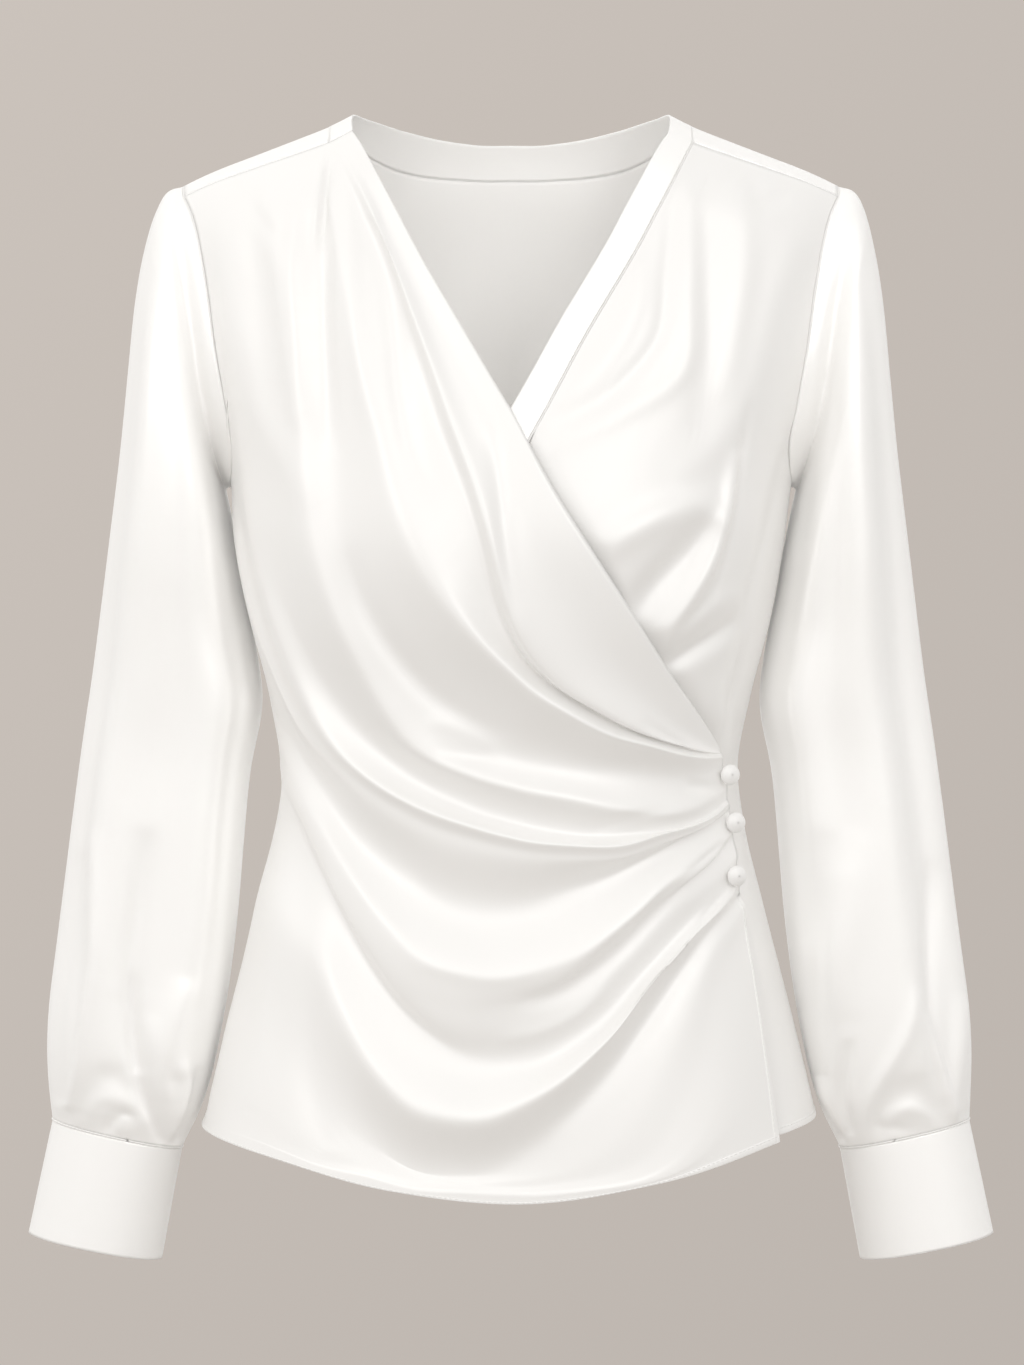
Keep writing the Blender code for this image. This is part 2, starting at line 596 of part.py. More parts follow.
def overlap(group):
    """The draped front: its grid runs along the folds, so that each ridge and trough is a row."""
    shares_top = np.linspace(0, 1, ARM_ROWS + 1)
    shares_side = np.concatenate([[0, 0.018], np.linspace(0.06, 1, FAR_COLUMNS - 1)])
    upper = [fold_line(fold, shares_top, shares_side) for fold in SHOULDER_FOLDS]
    lower = [fold_line(fold, shares_top, shares_side) for fold in SIDE_FOLDS]
    armhole = mirrored(armhole_front())
    armhole[0] = shoulder_seam([-ARM_TOP], SHOULDER_GAP)[0]
    upper.append((np.vstack([armhole, lower[0][0][1:]]), np.concatenate([np.zeros(ARM_ROWS), lower[0][1]])))
    lower[0] = (upper[-1][0][ARM_ROWS:], upper[-1][1][ARM_ROWS:])
    for line, _ in lower:
        z = place(line[:1, 0], line[:1, 1])[1]
        line[0] = chart(-column(BODY, 1, z), z)[0]
    end = hem(np.interp(shares_side, [0, 1], [-SIDE, chart(*EDGE[0][::-1])[0]]), 1)
    lower.append((end, np.full(len(end), HEM_OUT)))
    lower = [(np.vstack([np.repeat(line[:1], ARM_ROWS, axis=0), line]),
              np.concatenate([np.zeros(ARM_ROWS), out])) for line, out in lower]
    grid = []
    outs = []
    for fold, first, second in zip(SHOULDER_FOLDS, upper, upper[1:]):
        blend(grid, outs, first, second, fold[1])
    split = len(grid)
    for fold, first, second in zip(SIDE_FOLDS, lower, lower[1:]):
        blend(grid, outs, first, second, fold[1])
    grid = np.array([*grid, lower[-1][0]])
    outs = np.array([*outs, lower[-1][1]])
    grid[split], outs[split] = upper[-1]
    keep = np.ones(grid.shape[:2], bool)
    keep[split + 1:, :ARM_ROWS] = False
    points = raised(grid[..., 0], grid[..., 1], (LIFT + outs) * overlap_rise(grid, split))
    return cloth("front_overlap", points, body_core(points), group, keep)


def overlap_rise(grid, split):
    """From 0 at the shoulder seam, armhole and side seam, where it is sewn in, to 1 where it is free."""
    column_number = np.arange(grid.shape[1])
    from_arm = ease((split - np.arange(split + 1)) / 5)[:, None]
    from_seam = ease(column_number[:ARM_ROWS] / 5)
    past_arm = ease((column_number[ARM_ROWS:] - ARM_ROWS) / 7)
    rise = ease((grid[..., 0] + SIDE) / 0.012)
    rise[:split + 1, :ARM_ROWS] *= from_seam * from_arm
    rise[:split + 1, ARM_ROWS:] *= from_arm + (1 - from_arm) * past_arm
    return rise


def blend(grid, outs, first, second, rows):
    """Adds the rows from one fold line up to but not including the next."""
    for i in range(rows):
        t = i / rows
        grid.append(first[0] * (1 - t) + second[0] * t)
        outs.append(first[1] * (1 - ease(t)) + second[1] * ease(t))


def ring(row, side):
    """A closed ring of a sleeve or cuff from one table row, starting at its outer edge."""
    outer_x, outer_z, inner_x, inner_z, front, back_depth = row
    outer = np.array([outer_x, 0, outer_z])
    inner = np.array([inner_x, 0, inner_z])
    angle = np.linspace(0, 2 * math.pi, TUBE_SIDES, endpoint=False)
    return ring_at(outer, inner, front, back_depth, angle) * [side, 1, 1]


def ring_at(outer, inner, front, back_depth, angle):
    cosine = np.cos(angle)
    sine = np.sin(angle)
    across = np.sign(cosine) * np.abs(cosine) ** (2 / TUBE_ROUND)
    depth = np.where(sine > 0, front, back_depth) * np.sign(sine) * np.abs(sine) ** (2 / TUBE_ROUND)
    points = (outer + inner) / 2 + across[:, None] * (outer - inner) / 2
    return points + depth[:, None] * np.array([0, -1, 0])


def sleeve(name, side, group):
    """A tube whose first ring follows the armhole and whose last meets the cuff."""
    front = armhole_front()
    rear = armhole_back()
    loop = np.vstack([rear[CREST_ROWS:0:-1], front, rear[-2:CREST_ROWS:-1]])
    edge = form(loop[:, 0], loop[:, 1])
    rings = []
    cores = []
    length = np.concatenate([[0], np.cumsum(np.linalg.norm(np.diff(edge, axis=0), axis=1))])
    foot = CREST_ROWS + ARM_ROWS
    whole = length[-1] + np.linalg.norm(edge[0] - edge[-1])
    angle = np.interp(length, [0, length[foot], whole], [0, math.pi, 2 * math.pi])
    for number, row in enumerate(SLEEVE):
        trim = SLEEVE_TRIM[side] * math.sin(math.pi * min(number / (len(SLEEVE) - 1), 1)) ** 0.5
        outer = np.array([row[0] - trim, 0, row[1]])
        inner = np.array([row[2], 0, row[3]])
        own = ring_at(outer, inner, row[4], row[5], angle)
        rings.append(own)
        cores.append((outer + inner) / 2)
    lean = rings[0] - edge
    lean /= np.linalg.norm(lean, axis=1, keepdims=True)
    first = edge + lean * ARM_GAP
    first[:, 0] = np.maximum(first[:, 0], edge[:, 0] + SEAM)
    rings.insert(0, first)
    cores.insert(0, cores[0])
    grid = np.array(rings)
    cores = np.array(cores)[:, None]
    out = sleeve_out(grid, np.degrees(angle))
    normal = grid - cores
    normal /= np.linalg.norm(normal, axis=-1, keepdims=True)
    grid = (grid + normal * out[..., None]) * [side, 1, 1]
    return cloth(name, grid, cores * [side, 1, 1], group, ring=True)


def sleeve_out(grid, degrees):
    """How far the sleeve's folds stand out, none at the armhole or cuff."""
    rows, count = grid.shape[:2]
    share = np.linspace(0, 1, rows)[:, None]
    around = degrees[None, :]
    out = np.zeros((rows, count))
    for top, end, start, stop, half_width, height in SLEEVE_FOLDS:
        t = np.clip((share - start) / (stop - start), 0, 1)
        turn = (around - (top + (end - top) * t) + 180) % 360 - 180
        gap = np.radians(turn) * ARM_RADIUS / (half_width * MM)
        fade = np.sin(math.pi * t) ** 0.5
        out += height * MM * fade * np.exp(-gap**2)
    inner = ease((np.abs(around - 180) - 28) / 24)
    return out * np.minimum(ease(share / 0.15), ease((1 - share) / 0.06)) * inner


def cuff(name, side, group):
    rows = [tuple(a + (b - a) * t for a, b in zip(CUFF_TOP, CUFF_FOOT)) for t in (0, 0.25, 0.5, 0.75, 1)]
    grid = np.array([ring(row, side) for row in rows])
    core = np.array([grid_row.mean(axis=0) for grid_row in grid])[:, None]
    return cloth(name, grid, core, group, ring=True)


def button(name, place_on, group):
    """A domed covered button on a shank that stands on the overlap's edge."""
    x, z = place_on
    spot = chart(x, z)
    foot = raised(spot[0], spot[1], BUTTON_FOOT)
    head = raised(spot[0], spot[1], BUTTON_FOOT + BUTTON_STAND)
    turn = math.radians(BUTTON_TURN)
    axis = np.array([math.sin(turn), -math.cos(turn), 0])
    side = np.array([math.cos(turn), math.sin(turn), 0])
    up = np.array([0.0, 0.0, 1.0])
    stem = (head - foot) / np.linalg.norm(head - foot)
    count = BUTTON_SIDES
    angle = np.linspace(0, 2 * math.pi, count, endpoint=False)[:, None]
    spin = np.cos(angle) * side + np.sin(angle) * up
    stem_side = np.cross(up, stem)
    stem_spin = np.cos(angle) * stem_side + np.sin(angle) * np.cross(stem, stem_side)
    rings = [foot + stem_spin * SHANK_FOOT, head + spin * SHANK_HEAD]
    rings += [head + axis * rise * MM + spin * BUTTON_RADIUS * share for share, rise in BUTTON_PROFILE]
    points = np.vstack([*rings, [head + axis * BUTTON_HEIGHT]])
    faces = [list(range(count))]
    for i in range(len(rings) - 1):
        for j in range(count):
            k = (j + 1) % count
            faces.append([i * count + j, (i + 1) * count + j, (i + 1) * count + k, i * count + k])
    top = (len(rings) - 1) * count
    faces += [[top + j, len(points) - 1, top + (j + 1) % count] for j in range(count)]
    made = add(name, points, faces, covered(name), group)
    ends = points[np.array(faces[1:count + 1])]
    normal = np.cross(ends[:, 2] - ends[:, 0], ends[:, 3] - ends[:, 1])
    if np.sum(normal * (ends.mean(axis=1) - (foot + head) / 2)) < 0:
        made.data.flip_normals()
    return made


def build():
    for old in list(bpy.data.objects):
        bpy.data.objects.remove(old)
    group = collection(NAME)
    back(group)
    underlap(group)
    neckband(group)
    overlap(group)
    for name, side in (("left", 1), ("right", -1)):
        sleeve(f"sleeve_{name}", side, group)
        cuff(f"cuff_{name}", side, group)
    for number, spot in enumerate(BUTTONS, 1):
        button(f"button_{number}", spot, group)


build()
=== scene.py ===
# %% [markdown]
# A satin wrap blouse, filled out as if worn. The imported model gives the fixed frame: every sheet below
# lies on the same body form as the plain solids, only with far more rows and columns, so that the satin
# can show its folds, stitches and sheen. The lesson goes from the form, through the panels, to the light.

import json
import math

import bpy
import numpy as np
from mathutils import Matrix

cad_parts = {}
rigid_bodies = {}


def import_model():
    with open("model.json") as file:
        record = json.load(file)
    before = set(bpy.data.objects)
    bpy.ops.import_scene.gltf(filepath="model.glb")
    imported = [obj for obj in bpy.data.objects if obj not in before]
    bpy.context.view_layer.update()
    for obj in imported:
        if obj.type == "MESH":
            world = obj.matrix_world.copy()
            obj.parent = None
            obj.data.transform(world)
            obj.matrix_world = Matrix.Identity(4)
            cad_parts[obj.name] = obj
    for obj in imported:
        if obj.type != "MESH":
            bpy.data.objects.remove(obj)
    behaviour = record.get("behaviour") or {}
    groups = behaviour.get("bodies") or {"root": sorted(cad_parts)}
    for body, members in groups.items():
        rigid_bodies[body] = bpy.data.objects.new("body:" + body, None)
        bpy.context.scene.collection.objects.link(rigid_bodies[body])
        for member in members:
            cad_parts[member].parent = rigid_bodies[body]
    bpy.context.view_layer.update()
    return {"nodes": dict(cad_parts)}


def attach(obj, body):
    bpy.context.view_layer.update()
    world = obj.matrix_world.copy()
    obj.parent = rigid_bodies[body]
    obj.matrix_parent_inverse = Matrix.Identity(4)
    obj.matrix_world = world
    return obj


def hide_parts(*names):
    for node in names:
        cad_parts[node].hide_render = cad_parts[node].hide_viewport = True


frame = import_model()
print("nodes:", ", ".join(sorted(frame["nodes"])))

# %% [markdown]
# The cut of the blouse is held in a few named sizes and short tables, in metres. They describe a general
# figure as rings round the body, the line of the shoulders, the armholes, the neck and the hem. They are
# the same numbers as the solids use, so each finer sheet meets its neighbour where the solids meet.

# %% Sizes of the form
MM = 0.001
WALL = 0.0010            # thickness shown at edges
SEAM = 0.0004            # gap at seams
LIFT = 0.0034            # how far the overlap lies above the underlap
ROLL = 0.055             # height over which a shoulder rounds down
ROUND = 2.3              # squareness of the body's rings
GIRTH = 0.13             # metres along a panel for each radian round the body
HALF = math.pi / 2
SIDE = GIRTH * HALF      # place of the side seam
SHOULDER_GAP = 0.00064
BAND_GAP = 0.00068
ARM_TOP = 0.1915         # the shoulder seam's outer end
ARM_CREST = 0.1925       # where the armhole crosses the crest
SEAM_DOWN = (0.040, 0.031)  # how far down the front the shoulder seam lies, at the neck and at the arm
UNDERARM = -0.2165
UNDER_HEM = 0.0028       # how much higher the underlap's hem lies

# %% Tables of the form
# height, half width, front depth, back depth
BODY = (
    (-0.640, 0.1900, 0.119, 0.115),
    (-0.587, 0.1797, 0.117, 0.113),
    (-0.531, 0.1664, 0.112, 0.107),
    (-0.460, 0.1480, 0.104, 0.097),
    (-0.413, 0.1369, 0.099, 0.090),
    (-0.380, 0.1335, 0.099, 0.088),
    (-0.342, 0.1404, 0.105, 0.092),
    (-0.295, 0.1525, 0.115, 0.099),
    (-0.250, 0.1605, 0.119, 0.105),
    (-0.208, 0.1665, 0.113, 0.108),
    (-0.169, 0.1777, 0.105, 0.108),
    (-0.140, 0.1856, 0.098, 0.106),
    (-0.102, 0.1927, 0.087, 0.099),
    (-0.063, 0.2000, 0.073, 0.088),
    (-0.038, 0.2060, 0.064, 0.078),
    (0.040, 0.2060, 0.052, 0.060),
)
# distance from the middle, height
CREST = (
    (0.000, 0.0340), (0.030, 0.0305), (0.060, 0.0200), (0.0800, 0.0100), (0.0926, 0.0028),
    (0.1065, -0.0042), (0.1260, -0.0120), (0.1510, -0.0215), (0.1776, -0.0318), (0.1918, -0.0385),
    (0.2100, -0.0500))
ARMHOLE_FRONT = (
    (0.1852, -0.0607), (0.1765, -0.1000), (0.1707, -0.1404), (0.1652, -0.1721), (0.1612, -0.1950),
    (0.1624, -0.2090))
ARMHOLE_BACK = (
    (0.1890, -0.0607), (0.1835, -0.1000), (0.1780, -0.1404), (0.1720, -0.1721), (0.1665, -0.2000),
    (0.1640, -0.2100))
# inner x, inner distance over the crest, outer x, outer distance
NECK = (
    (0.0000, -0.0707, 0.0000, -0.0919),
    (0.0225, -0.0682, 0.0225, -0.0897),
    (0.0435, -0.0599, 0.0440, -0.0829),
    (0.0640, -0.0455, 0.0650, -0.0710),
    (0.0780, -0.0305, 0.0820, -0.0550),
    (0.0875, -0.0150, 0.0960, -0.0340),
    (0.0922, 0.0010, 0.1035, -0.0120),
    (0.0930, 0.0110, 0.1060, 0.0020),
    (0.0932, 0.0220, 0.1066, 0.0150),
    (0.0928, 0.0315, 0.1066, 0.0275),
    (0.0920, 0.0400, 0.1063, 0.0400),
)
# band's inner x and height down the underlap, then its outer x and height
NECK_FRONT = (
    (0.0920, -0.0122, 0.1063, -0.0186),
    (0.0831, -0.0262, 0.0990, -0.0330),
    (0.0700, -0.0510, 0.0870, -0.0570),
    (0.0576, -0.0752, 0.0740, -0.0820),
    (0.0277, -0.1271, 0.0450, -0.1320),
    (0.0006, -0.1761, 0.0160, -0.1860),
    (-0.0396, -0.2467, -0.0260, -0.2590),
    (-0.0852, -0.3135, -0.0730, -0.3290),
    (-0.1250, -0.3610, -0.1180, -0.3800),
)
# overlap's neckline and free edge together: height, x
NECK_LINE = (
    (-0.6230, 0.1560), (-0.4600, 0.1307), (-0.3707, 0.1180), (-0.3040, 0.0748), (-0.2428, 0.0352),
    (-0.1744, -0.0028), (-0.1037, -0.0436), (-0.0200, -0.0924))
# gathered edge of the overlap: height, x
EDGE = (
    (-0.5939, 0.1505), (-0.5477, 0.1435), (-0.5025, 0.1365), (-0.4600, 0.1307), (-0.4439, 0.1267),
    (-0.4286, 0.1262), (-0.4143, 0.1249), (-0.3986, 0.1222), (-0.3853, 0.1207), (-0.3707, 0.1180))
# degrees round the body, height
HEM_FRONT = (
    (-90, -0.5870), (-45, -0.6021), (-21, -0.6165), (2, -0.6230), (26, -0.6130), (56, -0.5942),
    (90, -0.5870))
HEM_BACK = ((-90, -0.5870), (-45, -0.5990), (0, -0.6090), (45, -0.5990), (90, -0.5870))
print(f"body: {len(BODY)} rings, waist {2 * min(row[1] for row in BODY):.3f} m wide")

# %% [markdown]
# Cloth is described as a grid: rows run one way, columns the other. To draw smooth lines through a few
# table rows, one function blends between them with matching slopes, and another spaces points evenly
# along such a line.

# %% Curves through table rows
LINE_FINE = 300          # points a line is drawn with before it is spaced out


def through(places, values, at):
    """Values on a smooth curve through the given ones."""
    places = np.asarray(places, float)
    values = np.asarray(values, float)
    slope = np.gradient(values, places)
    at = np.clip(at, places[0], places[-1])
    k = np.clip(np.searchsorted(places, at, side="right") - 1, 0, len(places) - 2)
    step = places[k + 1] - places[k]
    t = (at - places[k]) / step
    start = (1 + 2 * t) * (1 - t) ** 2 * values[k] + t * (1 - t) ** 2 * step * slope[k]
    end = t * t * (3 - 2 * t) * values[k + 1] + t * t * (t - 1) * step * slope[k + 1]
    return start + end


def column(table, number, at):
    return through([row[0] for row in table], [row[number] for row in table], at)


def between(table, rows):
    """A table's rows filled in to this many on smooth lines."""
    table = np.asarray(table, float)
    flat = table.reshape(len(table), -1)
    fine = np.linspace(0, len(table) - 1, rows)
    filled = [through(np.arange(len(table)), values, fine) for values in flat.T]
    return np.stack(filled, axis=1).reshape(rows, *table.shape[1:])


def run_along(points):
    """Distance run so far along a line of points."""
    return np.concatenate([[0], np.cumsum(np.linalg.norm(np.diff(points, axis=0), axis=1))])


def at_run(values, run, at):
    """What the values along a line are at these distances."""
    return np.stack([np.interp(at, run, numbers) for numbers in values.T], axis=-1)


def along(points, shares, steep=1.0):
    """Points at these shares of a smooth line's length. Its second coordinate counts `steep` times."""
    points = np.asarray(points, float)
    places = run_along(points)
    fine = np.linspace(0, places[-1], LINE_FINE)
    line = np.stack([through(places, values, fine) for values in points.T], axis=1)
    length = run_along(line * [1, steep])
    return at_run(line, length, np.asarray(shares) * length[-1])


def ease(t):
    t = np.clip(t, 0, 1)
    return t * t * (3 - 2 * t)


def unit(vectors):
    return vectors / np.linalg.norm(vectors, axis=-1, keepdims=True)


print(f"crest a tenth of a metre out: {column(CREST, 1, 0.1):.4f} m high")

# %% [markdown]
# The body form turns two flat coordinates into a point in space: how far round the body, and how far down
# over the rounded shoulder, which is positive on the front. A pattern cutter does the reverse when taking
# a pattern from a dress form. Working in the flat coordinates keeps seams exact on a curved body.

# %% The body form
FIRST_GUESS = 0.1665     # half width to start from when a point's height is still unknown
GUESSES = 12
NEAR_SIDE = SIDE * 0.985  # beyond this the form turns too sharply to measure its slope
PROBE = 0.002            # distance over which the slope is measured


def crest(x):
    return column(CREST, 1, np.abs(x))


def over(x, z):
    """Distance down over the shoulder of the point this far out at this height."""
    fall = np.maximum(crest(x) - z, 0)
    return ROLL * np.arccos(1 - np.minimum(fall / ROLL, 1)) + np.maximum(fall - ROLL, 0)


def fallen(down):
    """The reverse: height lost at this distance down, and how far the shoulder has turned there."""
    angle = np.minimum(np.abs(down) / ROLL, HALF)
    return ROLL * (1 - np.cos(angle)) + np.maximum(np.abs(down) - ROLL * HALF, 0), angle


def place(around, down):
    """x and height of a point on the form, and how far the shoulder has rolled over there."""
    fall, angle = fallen(down)
    x = FIRST_GUESS * np.sin(around / GIRTH)
    for _ in range(GUESSES):
        z = crest(x) - fall
        x = column(BODY, 1, z) * np.sin(around / GIRTH)
    return x, z, np.sin(angle)


def form(around, down):
    x, z, rolled = place(around, down)
    share = np.minimum(np.abs(np.sin(around / GIRTH)), 1)
    depth = np.where(down > 0, column(BODY, 2, z), column(BODY, 3, z))
    y = -np.sign(down) * (SEAM / 2 + depth * (1 - share**ROUND) ** (1 / ROUND) * rolled)
    return np.stack([x, y, z], axis=-1)


def chart(x, z, face=1):
    """The flat coordinates of a point given by x and height. Face 1 is the front, -1 the back."""
    z = np.asarray(z, float)
    around = GIRTH * np.arcsin(np.clip(x / column(BODY, 1, z), -1, 1))
    return np.stack([around, face * over(x, z)], axis=-1)


def raised(flat, out=0.0):
    """Points of the form moved straight out from it."""
    around, down = flat[..., 0], flat[..., 1]
    inner = np.clip(around, -NEAR_SIDE, NEAR_SIDE)
    across = form(inner + PROBE / 4, down) - form(inner - PROBE / 4, down)
    drop = form(inner, down + PROBE) - form(inner, down - PROBE)
    return form(around, down) + unit(np.cross(drop, across)) * np.asarray(out)[..., None]


print("the form's side at the chest:", np.round(form(np.array(SIDE), np.array(0.15)), 3))

# %% [markdown]
# A coarse fold reads as a facet, so each grid is first eased: every point moves a little towards the mean
# of its four neighbours, some times over, while the seams and edges are held. Then finer folds are laid on
# top. A fold is a line with a width, a height and a lean: a swag of satin turns over sharply on its lower
# side and slopes gently on its upper side, and that difference is what catches the light.

# %% Smoothing and laid-on folds
FOLD_POINTS = 60         # points along a laid-on fold
FOLD_REACH = 2.6         # half widths beyond which a fold is too low to show
FOLD_ENDS = 0.6          # how bluntly a fold dies out at its ends: lower is blunter


def smoothed(grid, held, times, ring=False):
    """The grid eased towards its neighbours, with the held points left where they are."""
    for _ in range(times):
        tall = np.pad(grid, ((1, 1), (0, 0), (0, 0)), mode="edge")
        wide = np.pad(grid, ((0, 0), (1, 1), (0, 0)), mode="wrap" if ring else "edge")
        mean = (tall[:-2] + tall[2:] + wide[:, :-2] + wide[:, 2:]) / 8 + grid / 2
        grid = np.where(held[..., None], grid, mean)
    return grid


def normals(grid, core):
    """Unit normals of a grid, facing away from its core."""
    normal = np.cross(np.gradient(grid, axis=0), np.gradient(grid, axis=1))
    normal /= np.maximum(np.linalg.norm(normal, axis=-1, keepdims=True), 1e-12)
    return normal if np.sum(normal * (grid - core)) > 0 else -normal


def laid_on(points, folds):
    """How far a table of folds pushes each point out, in metres. A row holds, in millimetres, the half
    width above the line, the half width below it, the height, and x and height of points along it."""
    x, z = points[..., 0], points[..., 2]
    out = np.zeros(x.shape)
    for above, below, height, marks in folds:
        line = along(np.array(marks) * MM, np.linspace(0, 1, FOLD_POINTS))
        reach = FOLD_REACH * max(above, below) * MM
        low, high = line.min(axis=0) - reach, line.max(axis=0) + reach
        near = (x > low[0]) & (x < high[0]) & (z > low[1]) & (z < high[1])
        if not near.any():
            continue
        dx = x[near][:, None] - line[:, 0]
        dz = z[near][:, None] - line[:, 1]
        k = np.argmin(np.hypot(dx, dz), axis=1)
        dx, dz = (np.take_along_axis(d, k[:, None], axis=1)[:, 0] for d in (dx, dz))
        tangent = np.gradient(line, axis=0)[k]
        upper = (dx * tangent[:, 1] - dz * tangent[:, 0]) * np.sign(tangent[:, 0] + 1e-9) < 0
        width = np.where(upper, above, below) * MM
        fade = np.sin(math.pi * (k / (FOLD_POINTS - 1))) ** FOLD_ENDS
        out[near] += height * MM * fade * np.exp(-((np.hypot(dx, dz) / width) ** 2))
    return out


# %% [markdown]
# Every sheet becomes a mesh in the same way: a grid of quads with flat coordinates in metres kept as a UV
# map, so that weave has its true scale, then a Solidify modifier for the thickness that shows at an edge.
# The inside takes a second, duller material, as satin has a shiny face and a matt back.

# %% Meshes
def placed(name, data):
    made = bpy.data.objects.new(name, data)
    bpy.context.scene.collection.objects.link(made)
    return made


def soft_mesh(name, points, faces, looks, flat=None):
    """A smooth mesh with its materials and a place for its flat coordinates."""
    mesh = bpy.data.meshes.new(name)
    mesh.from_pydata(points.tolist(), [], faces.tolist())
    layer = mesh.uv_layers.new(name="cloth")
    if flat is not None:
        layer.data.foreach_set("uv", flat.reshape(-1).astype(np.float32))
    mesh.polygons.foreach_set("use_smooth", [True] * len(mesh.polygons))
    for look in looks:
        mesh.materials.append(look)
    return placed(name, mesh)


# %% From grid to cloth
def flat_lengths(grid, axis):
    """Mean distance run so far along one axis of a grid."""
    steps = np.linalg.norm(np.diff(grid, axis=axis), axis=2).mean(axis=1 - axis)
    return np.concatenate([[0], np.cumsum(steps)])


def sheet(name, grid, core, looks, keep=None, ring=False, wall=WALL):
    rows, columns = grid.shape[:2]
    used = np.ones((rows, columns), bool) if keep is None else keep
    number = np.cumsum(used.reshape(-1)).reshape(rows, columns) - 1
    i, j = np.meshgrid(np.arange(rows - 1), np.arange(columns if ring else columns - 1), indexing="ij")
    row = np.stack([i, i, i + 1, i + 1])
    run_on = np.stack([j, j + 1, j + 1, j])
    col = run_on % columns
    whole = used[row, col].all(axis=0)
    row, run_on, col = row[:, whole], run_on[:, whole], col[:, whole]
    ends = grid[row, col]
    centre = np.broadcast_to(core, grid.shape)[row[0], col[0]]
    normal = np.cross(ends[2] - ends[0], ends[3] - ends[1])
    across = flat_lengths(np.concatenate([grid, grid[:, :1]], axis=1) if ring else grid, 1)
    down = flat_lengths(grid, 0)
    faces = number[row, col].T
    flat = np.stack([across[run_on].T, -down[row].T], axis=-1)
    if np.sum(normal * (ends.mean(axis=0) - centre)) < 0:
        faces, flat = faces[:, ::-1], flat[:, ::-1]
    made = soft_mesh(name, grid[used], faces, looks, flat)
    if wall:
        shell = made.modifiers.new("wall", "SOLIDIFY")
        shell.thickness = wall
        shell.offset = -1
        shell.material_offset = len(looks) - 1
    print(f"{name}: {len(faces)} faces, {across[-1]:.3f} by {down[-1]:.3f} m")
    return made


# %% Middle and edges of a panel
CORE_SHARE = 0.25        # how far the body's middle follows a point sideways
CORE_TOP = -0.09


def body_core(grid):
    """The middle of the body beside each point, lower at the shoulders so that their tops face up."""
    core = grid * [CORE_SHARE, 0, 1]
    core[..., 2] = np.minimum(core[..., 2], CORE_TOP)
    return core


def held_edges(grid):
    held = np.zeros(grid.shape[:2], bool)
    held[[0, -1]] = held[:, [0, -1]] = True
    return held


# %% [markdown]
# Satin is woven so that long warp threads float on its face. Seen close, that gives very fine streaks down
# the cloth; seen from far, a soft broad sheen that slides along the folds. One node group makes the
# streaks, the slubs and a little unevenness, and every cloth material uses it with its own numbers.

# %% Node helpers
def feed(tree, made, inputs):
    """Sets a node's inputs, by name or number. Each is a value, or the output that feeds it."""
    for name, value in inputs.items():
        if isinstance(value, bpy.types.NodeSocket):
            tree.links.new(value, made.inputs[name])
        else:
            made.inputs[name].default_value = value


def node(tree, kind, inputs=None, **settings):
    made = tree.nodes.new(kind)
    for name, value in settings.items():
        setattr(made, name, value)
    feed(tree, made, inputs or {})
    return made


# %% Weave node group
# kind, start value
WEAVE_INPUTS = {
    "Cloth": ("NodeSocketVector", None),
    "Colour": ("NodeSocketColor", (0.9, 0.9, 0.9, 1)),
    "Shade": ("NodeSocketColor", (0.8, 0.8, 0.8, 1)),
    "Roughness Low": ("NodeSocketFloat", 0.3),
    "Roughness High": ("NodeSocketFloat", 0.4),
}
WEAVE_OUTPUTS = {"Colour": "NodeSocketColor", "Roughness": "NodeSocketFloat", "Height": "NodeSocketFloat"}
# how often the noise changes across and along the cloth, and its detail
THREADS = ((3200, 160, 1), 1.0)
SLUBS = ((420, 26, 1), 2.0)
CLOUDS = ((22, 12, 1), 3.0)


def noise(tree, vector, stretch, detail):
    """Noise drawn out by `stretch` along the flat cloth."""
    drawn = node(tree, "ShaderNodeMapping", {"Vector": vector, "Scale": stretch}).outputs["Vector"]
    made = node(tree, "ShaderNodeTexNoise", {"Vector": drawn, "Scale": 1.0, "Detail": detail})
    return made.outputs["Fac"]


def mixed(tree, factor, low, high):
    """Numbers between two ends as a factor goes from 0 to 1."""
    made = node(tree, "ShaderNodeMapRange", {"Value": factor, "To Min": low, "To Max": high})
    return made.outputs["Result"]


def weave_group():
    """Colour, roughness and height of woven satin from its flat coordinates in metres."""
    tree = bpy.data.node_groups.new("satin_weave", "ShaderNodeTree")
    for name, (kind, value) in WEAVE_INPUTS.items():
        entry = tree.interface.new_socket(name=name, in_out="INPUT", socket_type=kind)
        if value is not None:
            entry.default_value = value
    for name, kind in WEAVE_OUTPUTS.items():
        tree.interface.new_socket(name=name, in_out="OUTPUT", socket_type=kind)
    start = node(tree, "NodeGroupInput").outputs
    threads, slubs, clouds = (noise(tree, start["Cloth"], *pace) for pace in (THREADS, SLUBS, CLOUDS))
    both = node(tree, "ShaderNodeMath", {0: threads, 1: slubs}, operation="ADD").outputs["Value"]
    height = node(tree, "ShaderNodeMath", {0: both, 1: 0.5}, operation="MULTIPLY").outputs["Value"]
    clouded = {"Factor": mixed(tree, clouds, 0.0, 0.5), "A": start["Colour"], "B": start["Shade"]}
    tint = node(tree, "ShaderNodeMix", clouded, data_type="RGBA").outputs["Result"]
    rough = mixed(tree, slubs, start["Roughness Low"], start["Roughness High"])
    node(tree, "NodeGroupOutput", {"Colour": tint, "Roughness": rough, "Height": height})
    return tree


WEAVE = weave_group()
print("weave group:", len(WEAVE.nodes), "nodes")

# %% [markdown]
# The face of the satin is a warm white with a broad soft sheen, stretched across the threads. Its back is
# the same white with no gloss. Buttons are covered with offcuts of the same cloth, pulled tight, so they
# take the face with a closer weave. Sewing thread is a little brighter and rougher.

